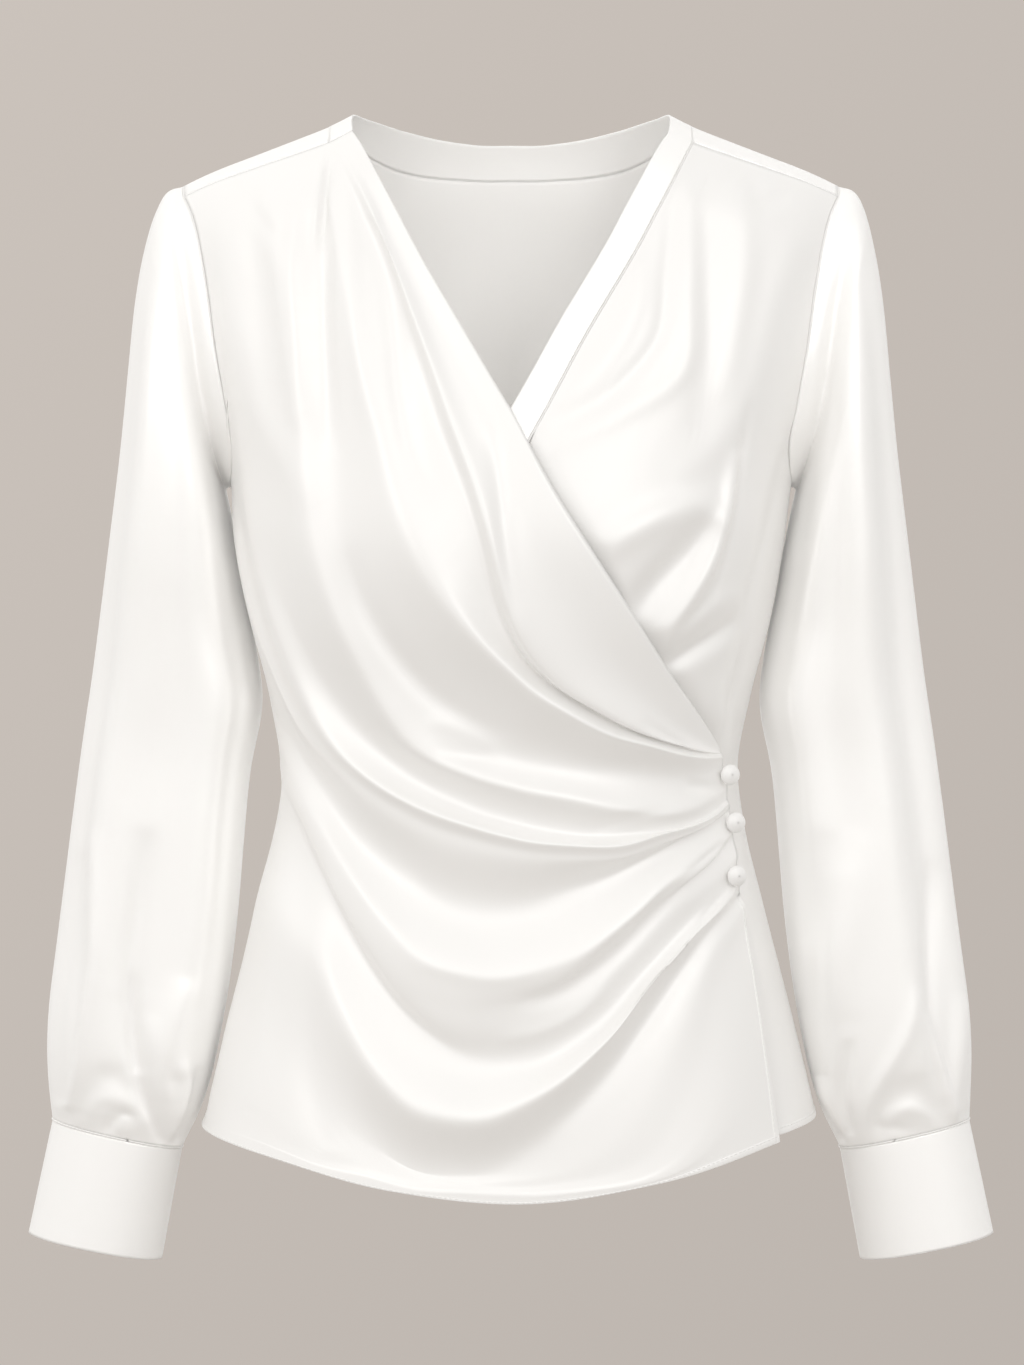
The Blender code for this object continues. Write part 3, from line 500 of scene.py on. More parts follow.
# %% Materials
# colour, shade between slubs, roughness from and to, bump, sheen, metallic, specular
SATINS = {
    "satin_face": ((0.94, 0.934, 0.922), (0.92, 0.912, 0.898), (0.42, 0.52), 0.35, 0.20, 0.28, 0.5),
    "satin_reverse": ((0.94, 0.93, 0.915), (0.90, 0.89, 0.87), (0.62, 0.78), 0.6, 0.10, 0.0, 0.3),
    "button_cover": ((0.93, 0.925, 0.915), (0.89, 0.885, 0.875), (0.42, 0.55), 0.8, 0.2, 0.2, 0.45),
    "sewing_thread": ((0.90, 0.895, 0.88), (0.84, 0.835, 0.82), (0.45, 0.60), 0.8, 0.2, 0.0, 0.4),
}
BUMP_DEPTH = 0.0001
SHEEN_ROUGHNESS = 0.45


def cloth_material(name, colour, shade, roughness, bump, sheen, metallic, specular):
    made = bpy.data.materials.new(name)
    made.use_nodes = True
    tree = made.node_tree
    flat = node(tree, "ShaderNodeUVMap", uv_map="cloth").outputs["UV"]
    weave = node(tree, "ShaderNodeGroup", {
        "Cloth": flat, "Colour": (*colour, 1), "Shade": (*shade, 1),
        "Roughness Low": roughness[0], "Roughness High": roughness[1]}, node_tree=WEAVE).outputs
    relief = node(tree, "ShaderNodeBump", {
        "Strength": bump, "Distance": BUMP_DEPTH, "Height": weave["Height"]})
    feed(tree, tree.nodes["Principled BSDF"], {
        "Base Color": weave["Colour"], "Roughness": weave["Roughness"], "Normal": relief.outputs["Normal"],
        "Sheen Weight": sheen, "Sheen Roughness": SHEEN_ROUGHNESS, "Metallic": metallic,
        "Specular IOR Level": specular})
    return made


FACE, REVERSE, COVER, THREAD = (cloth_material(name, *numbers) for name, numbers in SATINS.items())
LOOKS = (FACE, REVERSE)
print("materials:", ", ".join(SATINS))

# %% [markdown]
# Some lines are shared by two pieces: the forward shoulder seam, both armholes, the side seams and the
# hem. Each is worked out once, in the flat coordinates, and both neighbours are built up to it.

# %% Seam lines
ARM_FINE = 66            # rows down an armhole
CREST_FINE = 12          # rows from the shoulder seam back to the crest


def over_crest(xs, downs):
    z = crest(xs) - fallen(downs)[0]
    return np.stack([GIRTH * np.arcsin(xs / column(BODY, 1, z)), downs], axis=-1)


def shoulder_seam(xs, shift=0.0):
    """The forward shoulder seam, moved down the front by `shift`."""
    xs = np.asarray(xs, float)
    return over_crest(xs, np.interp(np.abs(xs), [NECK[-1][2], ARM_TOP], SEAM_DOWN) + shift)


def armhole_side(top, marks, face, rows):
    """One side of the armhole, from its top through its marks to the underarm."""
    foot = chart(column(BODY, 1, UNDERARM), UNDERARM, face)
    return along([top, *(chart(x, z, face) for x, z in marks), foot], np.linspace(0, 1, rows + 1))


def armhole_front(rows):
    return armhole_side(shoulder_seam([ARM_TOP])[0], ARMHOLE_FRONT, 1, rows)


def armhole_back():
    seam = shoulder_seam([ARM_TOP])[0]
    top = np.array([GIRTH * math.asin(ARM_CREST / BODY[-1][1]), 0.0])
    rise = [seam + (top - seam) * i / CREST_FINE for i in range(CREST_FINE)]
    return np.vstack([rise, armhole_side(top, ARMHOLE_BACK, -1, ARM_FINE)])


def armhole_loop():
    """The whole armhole, from the crest down the front and up the back."""
    rear = armhole_back()
    return np.vstack([rear[CREST_FINE:0:-1], armhole_front(ARM_FINE), rear[-2:CREST_FINE:-1]])


def side_seam(rows, face):
    z = np.linspace(UNDERARM, HEM_FRONT[0][1], rows + 1)[1:]
    return chart(column(BODY, 1, z), z, face)


def hem(around, face, lift=0.0):
    z = column(HEM_FRONT if face > 0 else HEM_BACK, 1, np.degrees(around / GIRTH)) + lift
    x = column(BODY, 1, z) * np.sin(around / GIRTH)
    return np.stack([around, face * over(x, z)], axis=-1)


def mirrored(points):
    return points * [-1, 1]


def patch(top, foot, left, right):
    """A grid between four edges, each a row of points."""
    t = np.linspace(0, 1, len(left))[:, None, None]
    s = np.linspace(0, 1, len(top))[None, :, None]
    corners = (1 - t) * ((1 - s) * top[0] + s * top[-1]) + t * ((1 - s) * foot[0] + s * foot[-1])
    return (1 - t) * top + t * foot + (1 - s) * left[:, None] + s * right[:, None] - corners


print(f"armhole: {run_along(form(*armhole_loop().T))[-1]:.3f} m round")

# %% [markdown]
# The back is one panel from hem to the forward shoulder seams. Nothing but gravity and the waist shapes
# it, so it hangs in long soft folds that deepen below the waist. Its upper part is seen from inside,
# through the neck, and carries faint vertical ripples there.

# %% The back's folds
SIDE_FINE = 84           # rows down the side seam
BACK_NECK = 70           # columns across half the neck
BACK_SHOULDER = 32       # columns along a shoulder seam
BACK_FADE = 0.12         # where the folds begin: share of the width, and metres down
BACK_FOLDS = (
    (13, 13, 3.5, ((-70, -60), (-62, -160), (-60, -270), (-48, -350))),
    (12, 12, -4.0, ((-38, -50), (-34, -150), (-38, -260), (-30, -340))),
    (13, 13, 3.0, ((4, -70), (8, -180), (0, -300), (6, -380))),
    (12, 12, -3.5, ((44, -45), (42, -150), (46, -260), (34, -350))),
    (13, 13, 3.5, ((80, -60), (72, -170), (66, -280), (52, -360))),
    (12, 12, -3.0, ((112, -80), (106, -170), (112, -260))),
    (12, 12, -3.0, ((-116, -80), (-110, -170), (-116, -250))),
    (15, 15, 6.0, ((-70, -370), (-82, -450), (-98, -540), (-106, -600))),
    (14, 14, -4.5, ((-40, -360), (-46, -450), (-56, -540), (-60, -608))),
    (15, 15, 6.5, ((-10, -380), (-10, -460), (-14, -550), (-16, -612))),
    (14, 14, -4.5, ((22, -365), (26, -450), (32, -540), (34, -612))),
    (15, 15, 6.0, ((56, -370), (64, -450), (78, -540), (86, -606))),
    (13, 13, -3.5, ((90, -380), (104, -450), (120, -540), (128, -600))),
)

# %% Back
def back_grid():
    outer = between(NECK, BACK_NECK)[:, 2:]
    shoulder = shoulder_seam(np.linspace(NECK[-1][2], ARM_TOP, BACK_SHOULDER)[1:])
    half = np.vstack([over_crest(*outer.T), shoulder])
    top = np.vstack([mirrored(half)[:0:-1], half])
    right = np.vstack([armhole_back(), side_seam(SIDE_FINE, -1)])
    foot = hem(np.linspace(-1, 1, len(top)) * SIDE, -1)
    return patch(top, foot, mirrored(right), right)


flat_back = back_grid()
back_form = raised(flat_back)
fade = ease((1 - np.abs(flat_back[..., 0]) / SIDE) / BACK_FADE) * ease(-flat_back[..., 1] / BACK_FADE - 0.5)
back_points = raised(flat_back, laid_on(back_form, BACK_FOLDS) * fade)
back_points = smoothed(back_points, held_edges(back_points), times=6)
back = sheet("back_panel", back_points, body_core(back_form), LOOKS)

# %% [markdown]
# The underlap is the front that lies beneath. It hangs free from the shoulder, so its folds sweep from
# the neck towards the bust, and it is pulled to the waist at the side, where folds meet in a point.

# %% The underlap's folds
UNDERLAP_FOLDS = (
    (8, 9, 3.6, ((45, -263), (64, -250), (84, -239), (104, -232), (118, -228))),
    (9, 9, -6.0, ((66, -300), (78, -283), (93, -266), (106, -252), (114, -240))),
    (5, 5, 5.4, ((76, -315), (91, -298), (105, -277), (115, -256), (123, -231), (129, -200))),
    (5, 5, -5.04, ((80, -328), (100, -316), (120, -303), (132, -293))),
    (4, 4, 1.44, ((78, -314), (98, -302), (116, -288), (132, -279))),
    (3, 3, -1.92, ((114, -285), (120, -265), (127, -234), (132, -200), (136, -171))),
    (8, 6, 1.32, ((74, -86), (70, -120), (53, -151), (22, -178))),
    (5, 5, -1.64, ((95, -43), (89, -96), (84, -135), (60, -166), (22, -189))),
    (6, 6, 1.44, ((102, -43), (103, -109), (98, -155), (62, -181), (19, -202))),
    (9, 9, -1.9, ((112, -40), (112, -102), (111, -155), (105, -195))),
    (9, 9, 1.44, ((167, -70), (151, -112), (136, -165), (116, -200), (90, -218))),
    (3.5, 3.5, -1.92, ((164, -180), (152, -227), (145, -255), (134, -299), (128, -354))),
    (8, 8, 1.44, ((132, -42), (134, -90), (128, -137), (122, -172))),
    (5, 5, -1.2, ((136, -38), (147, -53), (162, -50))),
    (2.2, 2.6, -2.4, ((100, -338), (110, -357), (119, -374))),
    (2.2, 2.2, 1.68, ((117, -330), (120, -350), (122, -372))),
    (2, 2, -2.4, ((134, -307), (131, -325), (126, -348), (124, -371))),
    (11, 11, -2.4, ((141, -508), (146, -548), (152, -587))),
)

# %% Underlap
UNDER_FINE = 130         # rows beside the neckband
UNDER_ARM = 96           # rows beside the armhole
UNDER_SIDE = 114         # rows beside the side seam
UNDER_SHOULDER = 150     # columns along the shoulder seam
UNDER_FOOT = -0.5850     # where its far edge ends
UNDER_FAR = 0.9945       # how near the far side seam its far edge lies
UNDER_CLEAR = -0.0030    # highest fold where the overlap covers it
UNDER_OPEN = 0.45        # how soon folds may rise past the overlap's edge
UNDER_DEEP = -0.007      # lowest fold
UNDER_EDGE = 0.012       # distance over which folds begin at the side seam
UNDER_TOP = 0.02         # and at the shoulder seam, after twice as much without folds
UNDER_NECK = 6           # columns over which they begin at the neck


def neck_seam(rows):
    """The band's inner edge and its seam with the underlap."""
    shares = np.linspace(0, 1, rows)
    inner = [chart(x, z) for x, z, _, _ in NECK_FRONT]
    outer = [chart(x, z) for _, _, x, z in NECK_FRONT]
    return along(inner, shares), along(outer, shares)


def underlap_grid():
    _, seam = neck_seam(UNDER_FINE + 1)
    below = UNDER_ARM + UNDER_SIDE - UNDER_FINE
    far_z = np.linspace(NECK_FRONT[-1][3], UNDER_FOOT, below + 1)[1:]
    far = chart(-column(BODY, 1, far_z) * UNDER_FAR, far_z)
    far[:, 0] = np.linspace(seam[-1, 0], far[-1, 0], below + 1)[1:]
    left = np.vstack([seam, far]) + [0, SEAM * 0.4]
    right = np.vstack([armhole_front(UNDER_ARM), side_seam(UNDER_SIDE, 1)])
    top = shoulder_seam(np.linspace(NECK[-1][2], ARM_TOP, UNDER_SHOULDER), SHOULDER_GAP)
    left[0] = top[0]
    right[0] = top[-1]
    foot = hem(np.linspace(far[-1, 0], SIDE, len(top)), 1, UNDER_HEM)
    foot[-1] = right[-1]
    left[-1] = foot[0]
    return patch(top, foot, left, right)


flat_under = underlap_grid()
under_form = raised(flat_under)
fade = ease((SIDE - flat_under[..., 0]) / UNDER_EDGE) * ease(flat_under[..., 1] / UNDER_TOP - 2)
fade *= ease(np.arange(flat_under.shape[1]) / UNDER_NECK)
shown = np.maximum(under_form[..., 0] - column(NECK_LINE, 1, under_form[..., 2]), 0)
under_out = np.minimum(laid_on(under_form, UNDERLAP_FOLDS) * fade, UNDER_CLEAR + shown * UNDER_OPEN)
under_points = raised(flat_under, np.maximum(under_out, UNDER_DEEP))
under_points = smoothed(under_points, held_edges(under_points), times=3)
underlap = sheet("underlap_panel", under_points, body_core(under_points), LOOKS)

# %% [markdown]
# A bias strip finishes the neck: it runs round the back, over both shoulders and down the underlap. It is
# sewn on flat, so it is one narrow strip with no folds of its own.

# %% Neckband
BAND_NECK = 80           # rows round half the back neck
BAND_FRONT = 151         # rows down the underlap
BAND_WIDE = 15           # columns across the strip


def neckband_grid():
    half = between(NECK, BAND_NECK)
    table = np.vstack([half[:0:-1] * [-1, 1, -1, 1], half])
    front_inner, front_outer = neck_seam(BAND_FRONT)
    inner = np.vstack([over_crest(table[:, 0], table[:, 1]), front_inner[1:]])
    outer = np.vstack([over_crest(table[:, 2], table[:, 3]), front_outer[1:]])
    outer -= unit(outer - inner) * BAND_GAP
    share = np.linspace(0, 1, BAND_WIDE)[None, :, None]
    return inner[:, None] * (1 - share) + outer[:, None] * share


flat_band = neckband_grid()
band_points = raised(flat_band)
band = sheet("neck_band", band_points, body_core(band_points), LOOKS)

# %% [markdown]
# The overlap is what makes this blouse: its side is gathered up to three buttons, so the cloth swings
# across the body in swags. Its rows follow the folds themselves. Each table row below is one ridge or
# trough, and its finer creases are laid on afterwards.

# %% The overlap's folds
# name, rows to the next, heights at shoulder, chest, middle and gathered end, how crisp,
# x at the shoulder seam (0 where it starts at the side), then x and height of points along it
SHOULDER_FOLDS = (
    ("neck edge", 8, (0.0, 0.0, 0.0, 0.0), 0, -92.4,
     ((-43.6, -103.7), (-2.8, -174.4), (35.2, -242.8), (74.8, -304.0), (118.0, -370.7))),
    ("edge groove", 8, (-0.87, -1.16, -0.72, 0.0), 0, -97.5,
     ((-45.8, -122.4), (-6.1, -202.8), (27.4, -277.4), (72.8, -336.1), (118.4, -371.8))),
    ("pleat ridge", 10, (1.8, 5.5, 7.25, 0.6), 0.9, -101.5,
     ((-46, -150), (-31, -193), (-18, -230), (-10, -258), (-3, -286), (5, -308), (28, -335), (56, -352),
      (99, -369), (118, -371.9))),
    ("pleat valley", 14, (-1.8, -2.4, -2.03, 0.8), 0.3, -105.0,
     ((-52, -150), (-38, -193), (-24, -230), (-16, -258), (-10, -284), (-2, -304), (21, -331), (53, -351),
      (99, -369), (118, -372.6))),
    ("first drape", 18, (1.5, 5.0, 12.8, 1.2), 1.0, -113.0,
     ((-78, -173), (-63, -232), (-45, -270), (-27, -294), (-8, -314), (19, -338), (52, -358), (76, -366),
      (99, -373), (118, -374.2))),
    ("first trough", 13, (-1.6, -1.0, -1.0, 0.0), 0, -127.0,
     ((-99, -184), (-93, -240), (-84, -281), (-68, -310), (-48, -333), (-24, -354), (-3, -370), (28, -378),
      (73, -385), (120, -381))),
    ("second drape", 11, (1.4, 4.8, 8.6, 1.0), 0.8, -142.0,
     ((-118, -189), (-112, -246), (-99, -285), (-85, -315), (-69, -345), (-52, -368), (-29, -381),
      (5, -392), (50, -402), (121, -392))),
    ("second trough", 11, (-1.4, -0.8, 0.6, 0.2), 0, -157.0,
     ((-137, -188), (-134, -245), (-126, -285), (-110, -320), (-90, -350), (-67, -375), (-40, -394),
      (-6, -408), (33, -417), (76, -417), (122, -398))),
    ("third drape", 8, (0.0, 5.2, 14.0, 1.4), 1.1, -172.0,
     ((-159, -169), (-153, -215), (-145, -256), (-134, -288), (-118, -326), (-94, -365), (-63, -394),
      (-29, -410), (11, -422), (53, -425), (85, -417), (122, -401))),
)
SIDE_FOLDS = (
    ("third slope", 17, (0.0, 1.6, 8.6, 0.6), 0.3, 0,
     ((-164.5, -216.5), (-157, -238), (-151, -267), (-142, -296), (-126, -336), (-100, -372), (-66, -402),
      (-29, -420), (11, -430), (53, -432), (88, -422), (123, -403))),
    ("third trough", 18, (0.0, -0.6, -4.0, 0.0), 0, 0,
     ((-150, -301), (-142, -330), (-124, -365), (-104, -396), (-83, -423), (-57, -444), (-29, -459),
      (-0, -460), (39, -448), (79, -430), (102, -417), (124, -406))),
    ("fourth drape", 7, (0.0, 1.2, 9.8, 1.6), 0.4, 0,
     ((-134, -362), (-120, -389), (-103, -417), (-86, -444), (-65, -471), (-40, -492), (-6, -498),
      (28, -489), (62, -468), (87, -446), (125, -415))),
    ("fourth slope", 9, (0.0, 1.0, 7.5, 0.4), 0, 0,
     ((-135, -368), (-121, -394), (-105, -423), (-90, -449), (-72, -478), (-48, -497), (-12, -506),
      (22, -502), (54, -481), (83, -455), (126, -417))),
    ("button valley", 8, (0.0, 0.4, 4.6, -0.4), 0, 0,
     ((-136, -375), (-123, -400), (-108, -428), (-94, -457), (-77, -484), (-56, -505), (-23, -516),
      (11, -511), (44, -493), (79, -463), (102, -442), (126, -419))),
    ("lobe", 8, (0.0, 0.0, 0.5, 1.8), 0.3, 0,
     ((-137, -382), (-122, -405), (-108, -434), (-93, -463), (-76, -492), (-56, -516), (-28, -531),
      (5, -530), (33, -518), (64, -490), (96, -457), (127, -432))),
    ("fifth trough", 12, (0.0, -0.2, -3.6, 1.0), 0, 0,
     ((-137, -395), (-122, -417), (-106, -444), (-91, -473), (-73, -502), (-49, -527), (-20, -544),
      (11, -544), (42, -528), (73, -497), (102, -465), (128, -439))),
    ("fifth drape", 14, (0.0, 0.6, 12.0, 1.6), 0.6, 0,
     ((-149, -450), (-123, -470), (-105, -492), (-91, -519), (-70, -553), (-44, -573), (-17, -576),
      (16, -562), (50, -535), (78, -500), (103, -474), (128, -448))),
    ("hem trough", 10, (0.0, -0.2, -2.6, -0.4), 0, 0,
     ((-161, -499), (-134, -535), (-108, -564), (-79, -590), (-45, -607), (-14, -606), (19, -589),
      (50, -563), (77, -525), (99, -492), (115, -470), (130, -455))),
    ("fan ridge", 9, (0.0, 0.2, -1.4, 1.2), 0.3, 0,
     ((-168, -546), (-138, -574), (-102, -593), (-62, -607.5), (-23, -611.5), (16, -608), (48, -597),
      (66, -581), (84, -550), (101, -516), (114, -484), (131, -461))),
    ("fan valley", 9, (0.0, 0.0, -1.0, 0.0), 0, 0,
     ((-174, -570), (-140, -586), (-96, -601.5), (-45, -611.5), (5, -613.5), (50, -607), (79, -593),
      (94, -567), (107, -537), (119, -496), (132, -472))),
    ("fan edge", 9, (0.0, 0.0, -0.2, 0.8), 0.2, 0,
     ((-176, -581), (-142, -592), (-93, -605.5), (-40, -615), (11, -616.5), (67, -611), (101, -589),
      (117, -557), (127, -524), (133, -492))),
    ("free side", 12, (0, 0, 0.4, 1.0), 0, 0,
     ((-177, -584.5), (-141, -593.5), (-90, -607.5), (-40, -617), (11, -618.8), (67, -613),
      (104, -600), (125, -572), (141.5, -535))),
)

# %% [markdown]
# Finer creases break up the big folds: the pressed edge and the pleat beside it, soft hollows down the
# chest, and short tucks that run out from the buttons.

# %% The overlap's creases
# half width above the line, half width below it, height, then points along it, in millimetres
OVERLAP_CREASES = (
    (1.6, 3.2, -6.5, ((-103, -10), (-105, -28), (-108, -50), (-111, -84))),
    (6, 6, -4.2, ((-103, -24), (-106, -61), (-107, -91), (-107, -121), (-105, -158), (-102, -201))),
    (5, 5, 1.5, ((-96, -31), (-92, -68), (-89, -109), (-86, -148), (-80, -190))),
    (6, 6, -2.7, ((-79, -65), (-71, -97), (-66, -134), (-62, -171), (-56, -201), (-45, -230))),
    (5, 5, 2.1, ((-121, -33), (-123, -61), (-125, -96), (-122, -143), (-121, -189))),
    (8, 8, -2.7, ((-157, -46), (-146, -84), (-139, -125), (-132, -171), (-127, -200))),
    (9, 9, 2.7, ((-178, -54), (-170, -93), (-157, -135), (-145, -176), (-128, -208), (-109, -234))),
    (5, 5, -1.8, ((-144, -37), (-151, -51), (-143, -67), (-129, -81))),
    (5, 4, -1.65, ((-44, -369), (-33, -372), (-22, -374), (-9, -376))),
    (5, 5, 1.5, ((-48, -354), (-34, -355), (-18, -362), (-6, -369))),
    (3.5, 3, -1.15, ((45, -414), (62, -410), (79, -406), (92, -404))),
    (2, 2, -1.61, ((73, -354), (88, -362), (102, -369))),
    (9, 9, -2.4, ((-123, -428), (-118, -473), (-115, -523), (-111, -568), (-102, -595))),
    (8, 8, 1.2, ((-131, -412), (-136, -468), (-142, -525), (-148, -576))),
    (3, 3, -1.61, ((122, -393), (108, -391), (99, -390))),
    (2.2, 2.2, -1.61, ((123, -423), (112, -431), (100, -440))),
    (2.2, 2.2, -1.61, ((125, -450), (115, -459), (105, -473))),
    (6, 6, -2.4, ((2, -511), (28, -505), (50, -491), (76, -467), (97, -443))),
    (4, 4, 1.38, ((-6, -532), (19, -527), (39, -517), (56, -502))),
    (8, 5, -2.2, ((-93, -256), (-85, -283), (-69, -312), (-49, -336), (-25, -355), (-3, -367))),
    (3, 5, -2.2, ((-11, -190), (-6, -219), (-3, -247), (1, -275), (5, -298))),
    (13, 6, -3.0, ((22, -581), (50, -554), (73, -526), (96, -492), (115, -462))),
)

# %% [markdown]
# The rows of the mesh between two fold lines carry the height from one to the other. Straight slopes would
# leave a facet at every line, and flat ridges would look like pipes. So a ridge and a trough are level, a
# line on a slope keeps that slope, and a crisp line is met at an edge.

# %% Fold lines
STEEP = 0.4              # how far height counts in spacing the columns
TOP_FINE = 70            # columns from shoulder seam to the turn below the chest
FAR_FINE = 128           # columns from there to the gathered end
FOLD_FINE = 1600         # points along a fold line while its turn is looked for
FOLD_THIN = 8            # one in so many is kept
MIDDLE = 0.55            # where the middle height of a fold applies


def fold_line(fold, shares_top, shares_side):
    """Flat points along one fold, how far each stands out, and how crisp it is."""
    _, _, outs, crisp, seam_x, points = fold
    marks = [chart(x * MM, z * MM) for x, z in points]
    end_z = points[-1][1] * MM
    marks[-1] = chart(column(EDGE, 1, end_z), end_z)
    if seam_x:
        top = shoulder_seam([seam_x * MM], SHOULDER_GAP)[0]
        line = along([top, *marks], np.linspace(0, 1, FOLD_FINE))
        turn = np.argmin(np.linalg.norm(line - marks[0], axis=1))
        upper = along(line[:turn + 1:FOLD_THIN], shares_top)
        line = np.vstack([upper, along(line[turn::FOLD_THIN], shares_side, STEEP)[1:]])
    else:
        line = along(marks, shares_side, STEEP)
    count = len(shares_top) - 1
    far = len(shares_side)
    stations = [0, count, count + far * MIDDLE, count + far - 1]
    out = through(stations, np.array(outs) * MM, np.arange(count + far))
    return [line, out if seam_x else out[count:], crisp]


# %% Rows between fold lines
CRISP = 1.6              # slope with which a crisp line is met


def rises(folds):
    """The slope over each fold line: none on a ridge or in a trough, and an even one in between."""
    gaps = [np.linalg.norm(below[0] - above[0], axis=1) + MM for above, below in zip(folds, folds[1:])]
    steps = np.diff([out for _, out, _ in folds], axis=0) / gaps
    product = np.maximum(steps[1:] * steps[:-1], 0)
    even = 2 * np.sign(steps[1:]) * product / (abs(steps[1:] + steps[:-1]) + 1e-6)
    level = np.zeros_like(even[:1])
    return np.vstack([level, even, level]), gaps


def blend(grid, outs, folds, counts):
    """Rows from one fold line up to the next. A crisp line is left and met at a slope."""
    slopes, gaps = rises(folds)
    for k, rows in enumerate(counts):
        first, second = folds[k], folds[k + 1]
        for t in np.arange(rows) / rows:
            leave, meet = t * (1 - t) ** 2, -t * t * (1 - t)
            share = ease(t) + CRISP * (first[2] * leave + second[2] * meet)
            grid.append(first[0] * (1 - t) + second[0] * t)
            outs.append(first[1] * (1 - share) + second[1] * share
                        + gaps[k] * (slopes[k] * leave + slopes[k + 1] * meet))


# %% The overlap's grid
ARM_SHIFT = 0.4          # how far the overlap stops short of its armhole, in millimetres
HEM_OUT = 0.3            # how far its hem stands out, in millimetres


def overlap_grid():
    shares_top = np.linspace(0, 1, TOP_FINE + 1)
    shares_side = np.linspace(0, 1, FAR_FINE + 1)
    upper, lower = ([fold_line(fold, shares_top, shares_side) for fold in folds]
                    for folds in (SHOULDER_FOLDS, SIDE_FOLDS))
    armhole = mirrored(armhole_front(TOP_FINE))
    armhole[:, 0] += ARM_SHIFT * MM * np.sin(np.linspace(0, math.pi, len(armhole)))
    armhole[0] = shoulder_seam([-ARM_TOP], SHOULDER_GAP)[0]
    line, out, _ = lower[0]
    upper.append([np.vstack([armhole, line[1:]]), np.concatenate([np.zeros(TOP_FINE), out]), 0])
    lower[0] = [upper[-1][0][TOP_FINE:], upper[-1][1][TOP_FINE:], 0]
    for fold in lower:
        height = place(fold[0][:1, 0], fold[0][:1, 1])[1]
        fold[0][0] = chart(-column(BODY, 1, height), height)[0]
    end = hem(np.interp(shares_side, [0, 1], [-SIDE, chart(*EDGE[0][::-1])[0]]), 1)
    lower.append([end, np.full(len(end), HEM_OUT * MM), 0])
    lower = [[np.vstack([np.repeat(line[:1], TOP_FINE, axis=0), line]),
              np.concatenate([np.zeros(TOP_FINE), out]), crisp] for line, out, crisp in lower]
    grid = []
    outs = []
    blend(grid, outs, upper, [fold[1] for fold in SHOULDER_FOLDS])
    split = len(grid)
    blend(grid, outs, lower, [fold[1] for fold in SIDE_FOLDS])
    grid = np.array([*grid, lower[-1][0]])
    outs = np.array([*outs, lower[-1][1]])
    grid[split], outs[split] = upper[-1][:2]
    return grid, outs, split


# %% Overlap
SEWN_ARM = 26            # rows over which it rises from the armhole
SEWN_TOP = TOP_FINE * 5 / 11   # columns over which it rises from the shoulder seam
SEWN_TURN = TOP_FINE * 7 / 11  # columns past the turn over which the armhole's hold ends
SEWN_SIDE = 0.036        # distance over which it rises from the side seam
SEWN_NECK = 8            # rows over which creases begin at the neck edge


def overlap_rise(grid, split):
    """From 0 at the shoulder seam, armhole and side seam, where it is sewn in, to 1 where it is free."""
    number = np.arange(grid.shape[1])
    from_arm = ease((split - np.arange(split + 1)) / SEWN_ARM)[:, None]
    from_seam = ease(number[:TOP_FINE] / SEWN_TOP)
    past_arm = ease((number[TOP_FINE:] - TOP_FINE) / SEWN_TURN)
    rise = ease((grid[..., 0] + SIDE) / SEWN_SIDE)
    rise[:split + 1, :TOP_FINE] *= from_seam * from_arm
    rise[:split + 1, TOP_FINE:] *= from_arm + (1 - from_arm) * past_arm
    return rise


flat_over, over_out, split = overlap_grid()
rise = overlap_rise(flat_over, split)
over_points = raised(flat_over, (LIFT + over_out) * rise)
over_keep = np.ones(over_points.shape[:2], bool)
over_keep[split + 1:, :TOP_FINE] = False
over_held = held_edges(over_points)
over_held[split:, :TOP_FINE + 1] = True
over_points = smoothed(over_points, over_held, times=8)
over_core = body_core(over_points)
hold = np.minimum(rise ** 0.5, 2 * rise) * ease(np.arange(len(over_points)) / SEWN_NECK)[:, None]
over_crease = laid_on(over_points, OVERLAP_CREASES) * hold
over_points += normals(over_points, over_core) * over_crease[..., None]
over_points = smoothed(over_points, over_held, times=2)
overlap = sheet("overlap_panel", over_points, over_core, LOOKS, over_keep)

# %% [markdown]
# A set-in sleeve is a tube whose first ring is the armhole itself and whose last is gathered into the
# cuff. Rings between them come from a table of outer and inner edges, smoothed into one long surface. Its
# head stands a little fuller than its seam, as it is eased in. Beside the body the cloth falls into one
# long fold from the armhole, and above the cuff it breaks into small gathers.

# %% The sleeves' rings
# outer x and height, inner x and height, front depth, back depth
SLEEVE = (
    (0.2056, -0.0474, 0.1683, -0.2190, 0.044, 0.050),
    (0.2145, -0.0715, 0.1677, -0.2240, 0.050, 0.057),
    (0.2210, -0.1060, 0.1658, -0.2310, 0.056, 0.063),
    (0.2256, -0.1520, 0.1636, -0.2410, 0.060, 0.066),
    (0.2302, -0.1980, 0.1604, -0.2560, 0.060, 0.066),
    (0.2362, -0.2460, 0.1563, -0.2800, 0.057, 0.063),
    (0.2418, -0.2900, 0.1501, -0.3100, 0.052, 0.057),
    (0.2468, -0.3280, 0.1462, -0.3450, 0.048, 0.052),
    (0.2522, -0.3640, 0.1533, -0.3830, 0.045, 0.049),
    (0.2577, -0.4050, 0.1572, -0.4240, 0.044, 0.047),
    (0.2630, -0.4470, 0.1606, -0.4660, 0.043, 0.046),
    (0.2682, -0.4880, 0.1655, -0.5070, 0.042, 0.045),
    (0.2722, -0.5200, 0.1708, -0.5380, 0.041, 0.044),
    (0.2735, -0.5460, 0.1762, -0.5630, 0.039, 0.042),
    (0.2726, -0.5680, 0.1835, -0.5850, 0.035, 0.038),
    (0.2704, -0.5882, 0.1937, -0.6052, 0.028, 0.031),
)
SLEEVE_TRIM = {1: 0.0035, -1: 0.0}  # how much narrower a sleeve is outside
